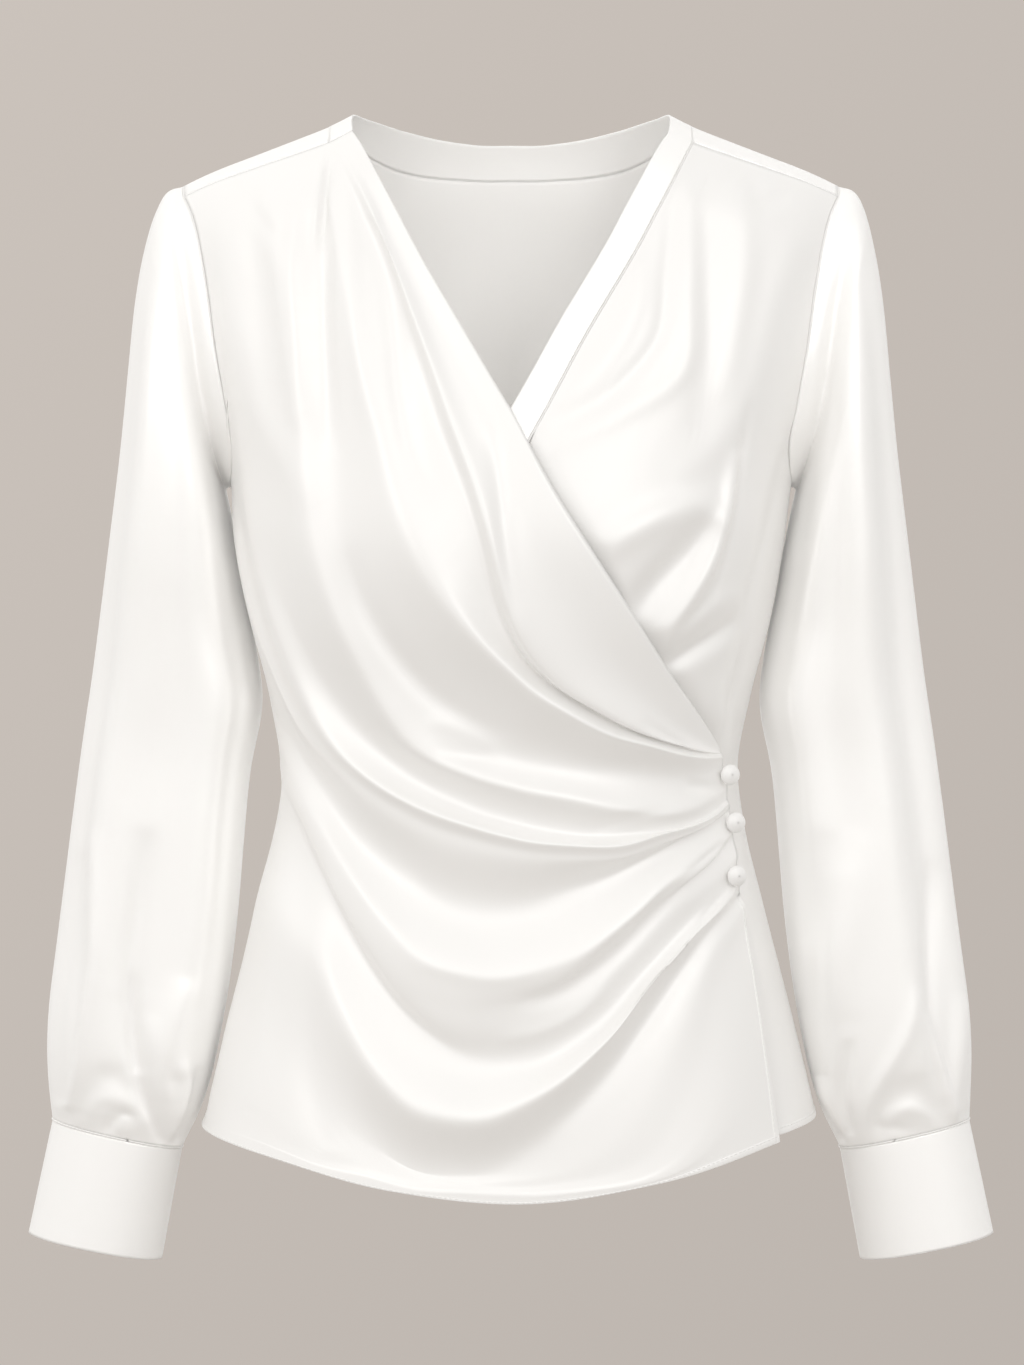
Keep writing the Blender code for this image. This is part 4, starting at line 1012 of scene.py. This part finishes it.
CUFF_TOP = (0.2702, -0.5890, 0.1941, -0.6060, 0.028, 0.031)
CUFF_FOOT = (0.2844, -0.6555, 0.2060, -0.6712, 0.029, 0.032)
TUBE_ROUND = 2.2         # squareness of the rings
# the inner edge's height, and squareness of the inner front there
UNDERARM_ROUND = ((-0.40, -0.33, -0.31, -0.224, -0.219), (2.2, 1.9, 1.55, 1.55, 1.8))
ARM_RADIUS = 0.042       # turns a fold's width into degrees
ARM_GAP = 0.00088        # between the armhole and the sleeve's first ring
SLEEVE_ROWS = 230
HEAD_RISE = 0.0017       # the sleeve head's fullness, just past its seam
HEAD_ROWS = 17           # rows over which it fades

# %% The sleeves' folds
# degrees round at the fold's top and foot, share down where it starts and ends, half width, height
BACK_OF_SLEEVE = (
    (215, 222, 0.15, 0.70, 12, 3.0),
    (250, 246, 0.20, 0.80, 12, -3.0),
    (285, 290, 0.12, 0.72, 12, 3.0),
    (212, 208, 0.60, 0.99, 9, -4.0),
    (244, 248, 0.62, 0.99, 8, 4.6),
    (276, 274, 0.64, 0.99, 8, -4.6),
    (312, 314, 0.62, 0.99, 8, 4.0),
)
SLEEVE_FOLDS = {
    1: (
        (50, 48, 0.10, 0.97, 11, -4.8),
        (28, 26, 0.20, 0.98, 9, 2.6),
        (76, 80, 0.05, 0.90, 12, 3.8),
        (104, 108, 0.06, 0.66, 11, -3.4),
        (128, 122, 0.10, 0.80, 12, 3.0),
        *BACK_OF_SLEEVE,
    ),
    -1: (
        (62, 54, 0.05, 0.97, 9, 4.0),
        (38, 32, 0.12, 0.97, 9, -3.6),
        (96, 94, 0.08, 0.96, 13, -4.6),
        (126, 128, 0.05, 0.92, 12, 3.4),
        (150, 146, 0.08, 0.80, 10, -3.0),
        *BACK_OF_SLEEVE,
    ),
}

# %% The sleeves' creases
# half width above the line, half width below it, height, then points along it, in millimetres
SLEEVE_CREASES = {
    -1: (
        (3.5, 3.5, 3.0, ((-240, -417), (-240, -458), (-241, -491), (-248, -532), (-252, -558),
                       (-258, -584))),
        (6, 6, -3.4, ((-249, -429), (-250, -469), (-252, -507), (-255, -539), (-260, -578))),
        (7, 8, -4.2, ((-212, -417), (-216, -453), (-221, -491), (-221, -530), (-216, -560))),
        (3.5, 3, -4.4, ((-221, -500), (-218, -545), (-214.5, -564), (-209, -585), (-203, -605))),
        (7, 7, 3.2, ((-188, -504), (-196, -527), (-198, -545), (-193, -562))),
        (4, 4, 3.4, ((-194, -552), (-189, -565), (-192, -580), (-200, -600))),
        (3, 3, -3.6, ((-181, -556), (-186, -576), (-192, -594), (-197, -605))),
        (6, 7, -1.3, ((-251, -586), (-246, -571), (-238, -561), (-229, -561), (-220, -568), (-211, -584))),
        (5, 5, 0.9, ((-252, -595), (-246, -583), (-237, -575), (-227, -575), (-218, -582), (-211, -593))),
        (3, 3, -2.0, ((-236, -597), (-231, -586), (-224, -583), (-216, -589))),
        (2.5, 2.5, 0.6, ((-232, -598), (-226, -592), (-219, -595))),
        (5, 5, 2.0, ((-209, -525), (-206, -548), (-202, -570), (-197, -588))),
        (4, 4.5, -5.2, ((-196, -58), (-191, -84), (-186, -117), (-179, -166), (-173, -199), (-168, -229),
                       (-163, -262))),
        (3.5, 9, 3.2, ((-203, -55), (-198, -84), (-193, -117), (-186, -166), (-180, -199), (-175, -229),
                     (-169, -262), (-163, -300))),
    ),
    1: (
        (10, 10, -2.2, ((182, -417), (179, -452), (174, -487))),
        (11, 11, 2.4, ((200, -417), (196, -462), (188, -500), (182, -535), (185, -562))),
        (5, 5, -3.4, ((247, -435), (245, -475), (245, -516), (247, -542), (252, -571))),
        (3, 3, 4.2, ((241, -522), (248, -545), (254, -568), (260, -596))),
        (3.5, 3.5, 2.4, ((263, -516), (262, -550), (259, -586))),
        (7, 8, -1.8, ((212, -598), (215, -583), (224, -572), (234, -569), (244, -575), (251, -591))),
        (4, 4, 1.1, ((218, -596), (221, -585), (230, -580), (241, -584), (251, -596))),
        (3, 3, -1.4, ((209, -587), (216, -591), (224, -591), (234, -593))),
        (4.5, 4.5, 2.3, ((205, -604), (207, -582), (214, -565), (223, -549), (231, -530), (236, -508))),
        (4, 4, -4.0, ((196, -539), (194, -559), (193, -576), (198, -598))),
        (3.5, 3.5, 2.6, ((180, -562), (185, -579), (193, -598))),
        (2.5, 2.5, -3.0, ((181, -576), (187, -590), (195, -604))),
        (4, 4.5, -5.2, ((198, -72), (191, -100), (185, -138), (180, -178), (173, -219), (168, -255))),
        (3.5, 9, 3.2, ((204, -60), (198, -97), (194, -138), (191, -178), (184, -219), (177, -259),
                     (168, -300))),
    ),
}

# %% [markdown]
# Each ring is a squared oval between its outer and inner edge. Under the arm its front is slanted away
# from the body, so that the sleeve hangs just clear of it.

# %% One ring
def ring_at(row, angle, inner_round=TUBE_ROUND):
    """One ring of a tube and its middle. A low inner_round slants its front away from the body."""
    outer_x, outer_z, inner_x, inner_z, front, behind = row
    outer = np.array([outer_x, 0, outer_z])
    inner = np.array([inner_x, 0, inner_z])
    cosine = np.cos(angle)
    sine = np.sin(angle)
    power = 2 / np.where((cosine < 0) & (sine > 0), inner_round, TUBE_ROUND)
    across = np.sign(cosine) * np.abs(cosine) ** power
    depth = np.where(sine > 0, front, behind) * np.sign(sine) * np.abs(sine) ** power
    middle = (outer + inner) / 2
    return middle + across[:, None] * (outer - inner) / 2 + depth[:, None] * [0, -1, 0], middle


# %% Sleeves
FOLD_START = 0.15        # share of the sleeve over which its folds begin
FOLD_STOP = 0.03         # share over which they end at the cuff
INNER_FREE = (28, 24)    # degrees beside the body with no folds, and over which they begin
FRONT_FADE = 0.35        # how soon the creases end towards the back
END_ROWS = 3             # rows over which they begin at both ends


def sleeve_out(degrees, side):
    share = np.linspace(0, 1, SLEEVE_ROWS)[:, None]
    out = np.zeros((SLEEVE_ROWS, len(degrees)))
    for top, end, start, stop, half_width, height in SLEEVE_FOLDS[side]:
        t = np.clip((share - start) / (stop - start), 0, 1)
        turn = (degrees - (top + (end - top) * t) + 180) % 360 - 180
        gap = np.radians(turn) * ARM_RADIUS / (half_width * MM)
        out += height * MM * np.sin(math.pi * t) ** 0.5 * np.exp(-gap**2)
    inner = ease((np.abs(degrees - 180) - INNER_FREE[0]) / INNER_FREE[1])
    return out * np.minimum(ease(share / FOLD_START), ease((1 - share) / FOLD_STOP)) * inner


def sleeve_grid(side):
    """A sleeve's rings, the middle of each, and how far round each column lies, in degrees."""
    loop = armhole_loop()
    edge = form(loop[:, 0], loop[:, 1])
    length = run_along(edge)
    whole = length[-1] + np.linalg.norm(edge[0] - edge[-1])
    angle = np.interp(length, [0, length[CREST_FINE + ARM_FINE], whole], [0, math.pi, 2 * math.pi])
    rings = []
    for number, row in enumerate(SLEEVE):
        trim = SLEEVE_TRIM[side] * math.sin(math.pi * number / (len(SLEEVE) - 1)) ** 0.5
        rings.append(ring_at((row[0] - trim, *row[1:]), angle, np.interp(row[3], *UNDERARM_ROUND)))
    rings, cores = zip(*rings)
    first = edge + unit(rings[0] - edge) * ARM_GAP
    first[:, 0] = np.maximum(first[:, 0], edge[:, 0] + SEAM)
    grid = between([first, *rings], SLEEVE_ROWS)
    core = between([cores[0], *cores], SLEEVE_ROWS)[:, None]
    return grid, core, np.degrees(angle)


def sleeve(name, side):
    grid, core, degrees = sleeve_grid(side)
    held = np.zeros(grid.shape[:2], bool)
    held[[0, -1]] = True
    grid = smoothed(grid, held, times=20, ring=True)
    number = np.arange(SLEEVE_ROWS)
    head = np.sin(math.pi * np.clip(number / HEAD_ROWS, 0, 1))[:, None]
    grid[..., 2] += HEAD_RISE * head * np.maximum(np.cos(np.radians(degrees)), 0) ** 2
    facing = ease(np.sin(np.radians(degrees)) / FRONT_FADE)
    ends = ease(np.minimum(number, SLEEVE_ROWS - 1 - number) / END_ROWS)[:, None]
    out = sleeve_out(degrees, side) + laid_on(grid * [side, 1, 1], SLEEVE_CREASES[side]) * facing * ends
    grid = smoothed(grid + unit(grid - core) * out[..., None], held, times=2, ring=True)
    return sheet(name, grid * [side, 1, 1], core * [side, 1, 1], LOOKS, ring=True)


SIDES = {"left": 1, "right": -1}
sleeves = {side: sleeve(f"sleeve_tube_{word}", side) for word, side in SIDES.items()}

# %% [markdown]
# The cuff is stiffened, so it keeps a plain tube that flares a little to the hand.

# %% Cuffs
CUFF_ROWS = 46
CUFF_ANGLES = np.linspace(0, 2 * math.pi, 180, endpoint=False)


def cuff(name, side):
    top, foot = np.array(CUFF_TOP), np.array(CUFF_FOOT)
    rings = [ring_at(top + (foot - top) * t, CUFF_ANGLES)[0] for t in np.linspace(0, 1, CUFF_ROWS)]
    grid = np.array(rings) * [side, 1, 1]
    return sheet(name, grid, grid.mean(axis=1)[:, None], LOOKS, ring=True)


cuffs = {side: cuff(f"cuff_band_{word}", side) for word, side in SIDES.items()}

# %% [markdown]
# Three small covered buttons hold the side. Each is a dome of cloth over a metal shell, drawn in
# underneath, on a short shank of thread.

# %% Buttons
BUTTONS = ((0.1192, -0.3850), (0.1225, -0.4135), (0.1232, -0.4443))
BUTTON_RADIUS = 0.0059
BUTTON_TURN = math.radians(22)
BUTTON_FOOT = 0.0050     # where the shank starts, out from the body form
BUTTON_STAND = 0.0028    # the shank's length
SHANK = (0.0014, 0.0013, 0.0015)  # its radius at its foot, middle and head
BUTTON_CORE = 0.0015     # how deep inside the dome its middle lies
BUTTON_ROWS = 34
BUTTON_COLUMNS = 48
# share of the radius, height in millimetres
BUTTON_PROFILE = (
    (0.30, -0.1), (0.62, 0.0), (0.82, 0.15), (0.95, 0.5), (1.0, 1.1), (0.985, 1.7), (0.93, 2.2),
    (0.83, 2.8), (0.70, 3.3), (0.55, 3.7), (0.38, 4.0), (0.20, 4.2), (0.06, 4.28))


def button(name, spot):
    flat = chart(*spot)
    foot = raised(flat, BUTTON_FOOT)
    head = raised(flat, BUTTON_FOOT + BUTTON_STAND)
    axis = np.array([math.sin(BUTTON_TURN), -math.cos(BUTTON_TURN), 0])
    side = np.array([math.cos(BUTTON_TURN), math.sin(BUTTON_TURN), 0])
    up = np.array([0.0, 0.0, 1.0])
    angle = np.linspace(0, 2 * math.pi, BUTTON_COLUMNS, endpoint=False)[:, None]
    spin = np.cos(angle) * side + np.sin(angle) * up
    stem = unit(head - foot)
    stem_side = np.cross(up, stem)
    stem_spin = np.cos(angle) * stem_side + np.sin(angle) * np.cross(stem, stem_side)
    rings = [foot + stem_spin * SHANK[0], (foot + head) / 2 + stem_spin * SHANK[1], head + spin * SHANK[2]]
    rings += [head + axis * height * MM + spin * BUTTON_RADIUS * share
              for share, height in between(BUTTON_PROFILE, BUTTON_ROWS)]
    return sheet(name, np.array(rings), head + axis * BUTTON_CORE, (COVER,), ring=True, wall=0)


buttons = [button(f"covered_button_{number}", spot) for number, spot in enumerate(BUTTONS, 1)]

# %% [markdown]
# Where two pieces are sewn together, the seam draws the cloth down into a fine line. The allowance inside
# the seam is a thin cord of folded cloth that fills that line, so it is drawn as one, sunk half a
# millimetre below both pieces.

# %% Cords
CORD = 0.00045
SUNK = 0.00052
ARM_CENTRE = 0.02        # how far inside the sleeve's middle the armhole's cord is drawn to
CORD_ENDS = 0.05         # a cord's ends are drawn in to this share of its radius
CORD_SIDES = 6
SHOULDER_FINE = 60       # points along a shoulder seam
SEAM_FINE = 120          # points along a side seam
CUFF_CORD = 1.2 * CORD
CUFF_SUNK = -0.2 * SUNK  # the cuff's cord stands out a little instead


def tube(name, line, radius=CORD):
    """A cord along a line of points, drawn in at both ends."""
    ahead = unit(np.gradient(line, axis=0))
    aside = unit(np.cross(ahead, line * [1, 1, 0] + [0, 0, 0.05]))
    outward = np.cross(aside, ahead)
    turn = np.linspace(0, 2 * math.pi, CORD_SIDES, endpoint=False)[None, :, None]
    size = np.full((len(line), 1, 1), radius)
    size[[0, -1]] *= CORD_ENDS
    grid = line[:, None] + (np.cos(turn) * aside[:, None] + np.sin(turn) * outward[:, None]) * size
    return sheet(name, grid, line[:, None], (FACE,), ring=True, wall=0)


def ring_cord(name, middle, centre, sunk, side, radius=CORD):
    """A cord all round a ring of points, moved in from them towards a centre."""
    line = middle + unit(centre - middle) * sunk
    return tube(name, np.vstack([line, line[:2]]) * [side, 1, 1], radius)


# %% Seams
def shoulder_cord(name, side):
    flat = shoulder_seam(np.linspace(NECK[-1][2], ARM_TOP, SHOULDER_FINE), SHOULDER_GAP / 2)
    return tube(name, raised(flat, -SUNK) * [side, 1, 1])


def neck_cord(name):
    inner, outer = flat_band[:, 0], flat_band[:, -1]
    return tube(name, raised(outer + unit(outer - inner) * BAND_GAP / 2, -SUNK))


def armhole_cord(name, side):
    """It lies in the gap between the armhole's edge and the sleeve's first ring, just under both."""
    grid, core, _ = sleeve_grid(1)
    flat = armhole_loop()
    middle = (form(flat[:, 0], flat[:, 1]) + grid[0]) / 2
    return ring_cord(name, middle, core[0] - [ARM_CENTRE, 0, 0], SUNK, side)


def cuff_cord(name, side):
    middle = (ring_at(SLEEVE[-1], CUFF_ANGLES)[0] + ring_at(CUFF_TOP, CUFF_ANGLES)[0]) / 2
    return ring_cord(name, middle, middle.mean(axis=0), CUFF_SUNK, side, CUFF_CORD)


def side_cord(name, side):
    z = np.linspace(UNDERARM - MM, HEM_FRONT[0][1] + MM, SEAM_FINE)
    line = np.stack([column(BODY, 1, z) - CORD, np.zeros(len(z)), z], axis=1)
    return tube(name, line * [side, 1, 1])


def pair(make, seam):
    return {side: make(f"{seam}_seam_{word}", side) for word, side in SIDES.items()}


shoulder_cords = pair(shoulder_cord, "shoulder")
armhole_cords = pair(armhole_cord, "armhole")
cuff_cords = pair(cuff_cord, "cuff")
side_cords = pair(side_cord, "side")
neck_cord_piece = neck_cord("neck_seam")

# %% [markdown]
# The hem is turned up by four millimetres and stitched down. The turn shows as a slightly thicker band with
# a row of small stitches near its upper edge. It is taken from the panel's own grid, so it follows every
# fold of the hem. The free edge of the overlap below the buttons is finished in the same way.

# %% Turned edges
TURN = 0.0042            # height of the turned hem
TURN_LIFT = 0.00036      # how far a turned edge stands out
TURN_ROWS = 40           # rows of a panel that the turn can lie on
EDGE_MIDDLE = 0.001      # how far towards the body the turn's own middle lies
# distance in from the edge, height off the cloth
TURN_PROFILE = (
    (0.0, -0.0011), (-0.0002, -0.0009), (-0.0003, -0.0004), (-0.0001, 0.0002), (0.0004, TURN_LIFT),
    (TURN * 0.5, TURN_LIFT), (TURN - 0.0004, TURN_LIFT), (TURN, -0.0001))


def inside(grid, core, distance, lift):
    """Points this far in from a grid's first row, lifted off it, and the normals there."""
    near = grid[:TURN_ROWS]
    face = normals(grid, core)[:TURN_ROWS]
    points = []
    normal = []
    for j in range(grid.shape[1]):
        run = run_along(near[:, j])
        points.append(at_run(near[:, j], run, distance))
        normal.append(at_run(face[:, j], run, distance))
    normal = unit(np.array(normal))
    return np.array(points) + unit(near[0] - near[1]) * max(-distance, 0) + normal * lift, normal


def turned_edge(name, grid, core):
    """A narrow band along a grid's first row, wrapped round its edge."""
    rows = np.array([inside(grid, core, distance, lift)[0] for distance, lift in TURN_PROFILE])
    middle = grid[0] + (core[0] - grid[0]) * EDGE_MIDDLE
    return sheet(name, rows, middle, (FACE,), wall=0)


# %% Stitches
STITCH = 0.0020
STITCH_GAP = 0.0011
STITCH_RADIUS = 0.00020
STITCH_LINE = 0.8        # where the stitches lie in the turn
# share of a stitch's length, share of its radius
STITCH_PROFILE = np.array(((0.0, 0.25), (0.18, 1.0), (0.82, 1.0), (1.0, 0.25)))
STITCH_AHEAD = 0.0005    # distance over which a stitch's direction is measured
STITCH_RAISED = 0.3      # how much of its radius a stitch stands above the turn


def stitches(name, line, normal):
    """A row of thread stitches lying on a line of points. Each is a square bar with narrow ends."""
    run = run_along(line)
    starts = np.arange(STITCH_GAP, run[-1] - STITCH, STITCH + STITCH_GAP)
    at = (starts[:, None] + STITCH_PROFILE[:, 0] * STITCH).reshape(-1)
    size = np.tile(STITCH_PROFILE[:, 1] * STITCH_RADIUS, len(starts))[:, None]
    spot = at_run(line, run, at)
    up = at_run(normal, run, at)
    aside = np.cross(unit(at_run(line, run, at + STITCH_AHEAD) - spot), up)
    corners = np.stack([spot + step * size for step in (aside, up, -aside, -up)], axis=1)
    ring = np.arange(len(at)).reshape(-1, len(STITCH_PROFILE))[:, :-1].reshape(-1, 1) * 4
    k = np.arange(4)
    a, b = ring + k, ring + (k + 1) % 4
    faces = np.stack([a, a + 4, b + 4, b], axis=-1).reshape(-1, 4)
    print(f"{name}: {len(starts)} stitches")
    return soft_mesh(name, corners.reshape(-1, 3), faces, (THREAD,))


# %% Hems
FREE_BELOW = 0.008       # where the free edge's turn starts below the last button


def hemmed(name, grid):
    """A turned hem on a grid's first row and its stitches."""
    core = body_core(grid)
    line, normal = inside(grid, core, TURN * STITCH_LINE, TURN_LIFT + STITCH_RADIUS * STITCH_RAISED)
    return [turned_edge(f"{name}_turn", grid, core), stitches(f"{name}_stitches", line, normal)]


over_hem = hemmed("overlap_hem", over_points[::-1][:, TOP_FINE:])
under_hem = hemmed("underlap_hem", under_points[::-1])
back_hem = hemmed("back_hem", back_points[::-1])
below = over_points[:, -1, 2] < BUTTONS[-1][1] - FREE_BELOW
free_edge = hemmed("free_edge", over_points[below][:, ::-1].transpose(1, 0, 2))

# %% [markdown]
# The floor lies as far below as if the blouse were worn by someone standing. It is plain matt paper.

# %% Floor
FLOOR = 3.0
FLOOR_HEIGHT = -1.4


def plain(name, colour, roughness):
    made = bpy.data.materials.new(name)
    made.use_nodes = True
    tree = made.node_tree
    spots = node(tree, "ShaderNodeTexNoise", {"Scale": 3.0}).outputs["Fac"]
    colours = {"Factor": spots, "A": (*colour, 1), "B": (*[c * 0.97 for c in colour], 1)}
    mottled = node(tree, "ShaderNodeMix", colours, data_type="RGBA").outputs["Result"]
    feed(tree, tree.nodes["Principled BSDF"], {"Base Color": mottled, "Roughness": roughness})
    return made


mesh = bpy.data.meshes.new("floor")
mesh.from_pydata([(x * FLOOR, y * FLOOR, FLOOR_HEIGHT) for x, y in ((-1, -1), (1, -1), (1, 1), (-1, 1))],
                 [], [(0, 1, 2, 3)])
mesh.materials.append(plain("floor_paper", (0.54, 0.515, 0.49), 0.8))
floor = placed("floor", mesh)

# %% [markdown]
# White satin shows its folds only if the light has a direction, yet a hard lamp would burn it out. Two
# raised strips in front, a stronger one on the right, make the sheen. A small lamp reaches the inside of
# the back, and two low ones at the sides reach the sleeves under the arms. A weak one in front fills the
# sleeves. Light linking keeps each of these to its own pieces.

# %% Lamps
def aim(obj, target):
    direction = np.array(target) - np.array(obj.location)
    flat = math.hypot(direction[0], direction[1])
    obj.rotation_euler = (math.atan2(flat, -direction[2]), 0, math.atan2(-direction[0], direction[1]))


def soft_box(name, spot, size, power, target=(0, 0, -0.33)):
    lamp = bpy.data.lights.new(name, "AREA")
    lamp.shape = "RECTANGLE"
    lamp.size, lamp.size_y = size
    lamp.energy = power
    made = placed(name, lamp)
    made.location = spot
    made.visible_camera = False
    aim(made, target)
    return made


def group(name, pieces):
    made = bpy.data.collections.new(name)
    for piece in pieces:
        made.objects.link(piece)
    return made


def keep_to(lamp, name, lit, shades=()):
    """The lamp lights only some pieces, and only some throw shadows in its light."""
    lamp.light_linking.receiver_collection = group(f"lit_{name}", lit)
    if shades:
        lamp.light_linking.blocker_collection = group(f"shades_{name}", shades)


soft_box("strip_left", (-1.6, -3.7, 1.4), (1.0, 2.0), 13.6)
soft_box("strip_right", (1.7, -3.6, 1.4), (1.0, 2.0), 19.0)
inner = soft_box("inner", (-0.35, -0.42, -1.0), (0.5, 0.5), 2.4, (0, 0.05, -0.02))
keep_to(inner, "inside", (back, band), (neck_cord_piece,))
fill = soft_box("fill", (0, -2.3, -0.5), (0.5, 0.5), 0.6, (0, 0, -0.45))
keep_to(fill, "sleeves", (*sleeves.values(), *cuffs.values()))
for name, side in SIDES.items():
    under = soft_box(f"underarm_{name}", (-1.6 * side, -0.2, -0.3), (0.6, 0.6), 2.8, (0.16 * side, 0, -0.3))
    keep_to(under, f"arm_{name}", (sleeves[side],), (sleeves[side],))
print("lamps:", len(bpy.data.lights))

# %% [markdown]
# The room's own glow does the rest. It grows towards the ceiling and towards the left, so folds turn from
# bright to grey very gently. The camera sees a plain backdrop instead, with painted light that makes it
# a little lighter at the top left.

# %% Room
ROOM = (1.0, 0.985, 0.965, 1)
BACKDROP = (0.558, 0.509, 0.468, 1)
BACKDROP_LIGHT = 0.99
# painted light on the backdrop the camera sees: brighter towards the top left, darker towards the bottom
# right
BACKDROP_PAINTED_FALLOFF = (-0.25, 0.0, 0.25)
GLOW_FROM, GLOW_TO = -0.6, 0.4  # how far towards its bright side the glow starts and ends to grow
# direction it grows in, least, most
CEILING = ((0, 0, 1), 0.57, 0.84)
LEFT = ((-1, 0, 0), 0.0, 0.22)

world = bpy.data.worlds.new("studio")
bpy.context.scene.world = world
world.use_nodes = True
tree = world.node_tree
looking = node(tree, "ShaderNodeTexCoord").outputs["Generated"]


def towards(direction):
    made = node(tree, "ShaderNodeVectorMath", {0: looking, 1: direction}, operation="DOT_PRODUCT")
    return made.outputs["Value"]


def glow(direction, low, high):
    """Brightness of the room that eases from low to high towards a direction."""
    span = {"From Min": GLOW_FROM, "From Max": GLOW_TO, "To Min": low, "To Max": high}
    made = node(tree, "ShaderNodeMapRange", {"Value": towards(direction), **span},
                interpolation_type="SMOOTHSTEP")
    return made.outputs["Result"]


def total(first, second):
    return node(tree, "ShaderNodeMath", {0: first, 1: second}, operation="ADD").outputs["Value"]


room = tree.nodes["Background"]
feed(tree, room, {"Color": ROOM, "Strength": total(glow(*CEILING), glow(*LEFT))})
# the backdrop for camera rays, with painted light falling off from the top left
seen = node(tree, "ShaderNodeBackground", {
    "Color": BACKDROP, "Strength": total(towards(BACKDROP_PAINTED_FALLOFF), BACKDROP_LIGHT)})
camera_ray = node(tree, "ShaderNodeLightPath").outputs["Is Camera Ray"]
either = node(tree, "ShaderNodeMixShader",
              {"Fac": camera_ray, 1: room.outputs["Background"], 2: seen.outputs["Background"]})
feed(tree, tree.nodes["World Output"], {"Surface": either.outputs["Shader"]})
bpy.context.scene.view_settings.view_transform = "Standard"

# %% [markdown]
# The camera stands level with the middle of the blouse, two metres off, with a long lens, so that the near
# and far parts keep their true widths.

# %% Camera
CAMERA_PLACE = (0.0006, -2.2, -0.3319)
LENS = 98.3

camera_data = bpy.data.cameras.new("camera")
camera_data.sensor_fit = "VERTICAL"
camera_data.sensor_height = 36
camera_data.lens = LENS
camera = placed("camera", camera_data)
camera.location = CAMERA_PLACE
camera.rotation_euler = (HALF, 0, 0)
bpy.context.scene.camera = camera
print(f"camera: {LENS} mm lens, {-CAMERA_PLACE[1]} m off")

# %% [markdown]
# Last, each piece and its trims ride on the root body, and the solid it stands for is hidden. The table
# also gives how each was cut. Sleeves and cuffs go all round, so their flat width is their girth; a back,
# an overlap and an underlap are cut to the rectangle round them, with the true area given beside it.

# %% Which piece is which
PIECES = (
    (back, "back", (0.56, 0.66), 0.26),
    (underlap, "front_underlap", (0.42, 0.66), 0.17),
    (overlap, "front_overlap", (0.50, 0.66), 0.19),
    (band, "neckband", (0.018, 0.80), None),
    (sleeves[1], "sleeve_left", (0.36, 0.56), 0.15),
    (sleeves[-1], "sleeve_right", (0.36, 0.56), 0.15),
    (cuffs[1], "cuff_left", (0.215, 0.068), None),
    (cuffs[-1], "cuff_right", (0.215, 0.068), None),
)
TRIMS = {
    "back": [*back_hem, *side_cords.values()],
    "front_underlap": [*under_hem, shoulder_cords[1]],
    "front_overlap": [*over_hem, *free_edge, shoulder_cords[-1]],
    "neckband": [neck_cord_piece],
    "sleeve_left": [armhole_cords[1]],
    "sleeve_right": [armhole_cords[-1]],
    "cuff_left": [cuff_cords[1]],
    "cuff_right": [cuff_cords[-1]],
}
for piece, stands_for, flat, area in PIECES:
    trims = TRIMS[stands_for]
    for thing in (piece, *trims):
        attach(thing, "root")
    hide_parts(stands_for)
for number, piece in enumerate(buttons, 1):
    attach(piece, "root")
    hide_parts(f"button_{number}")
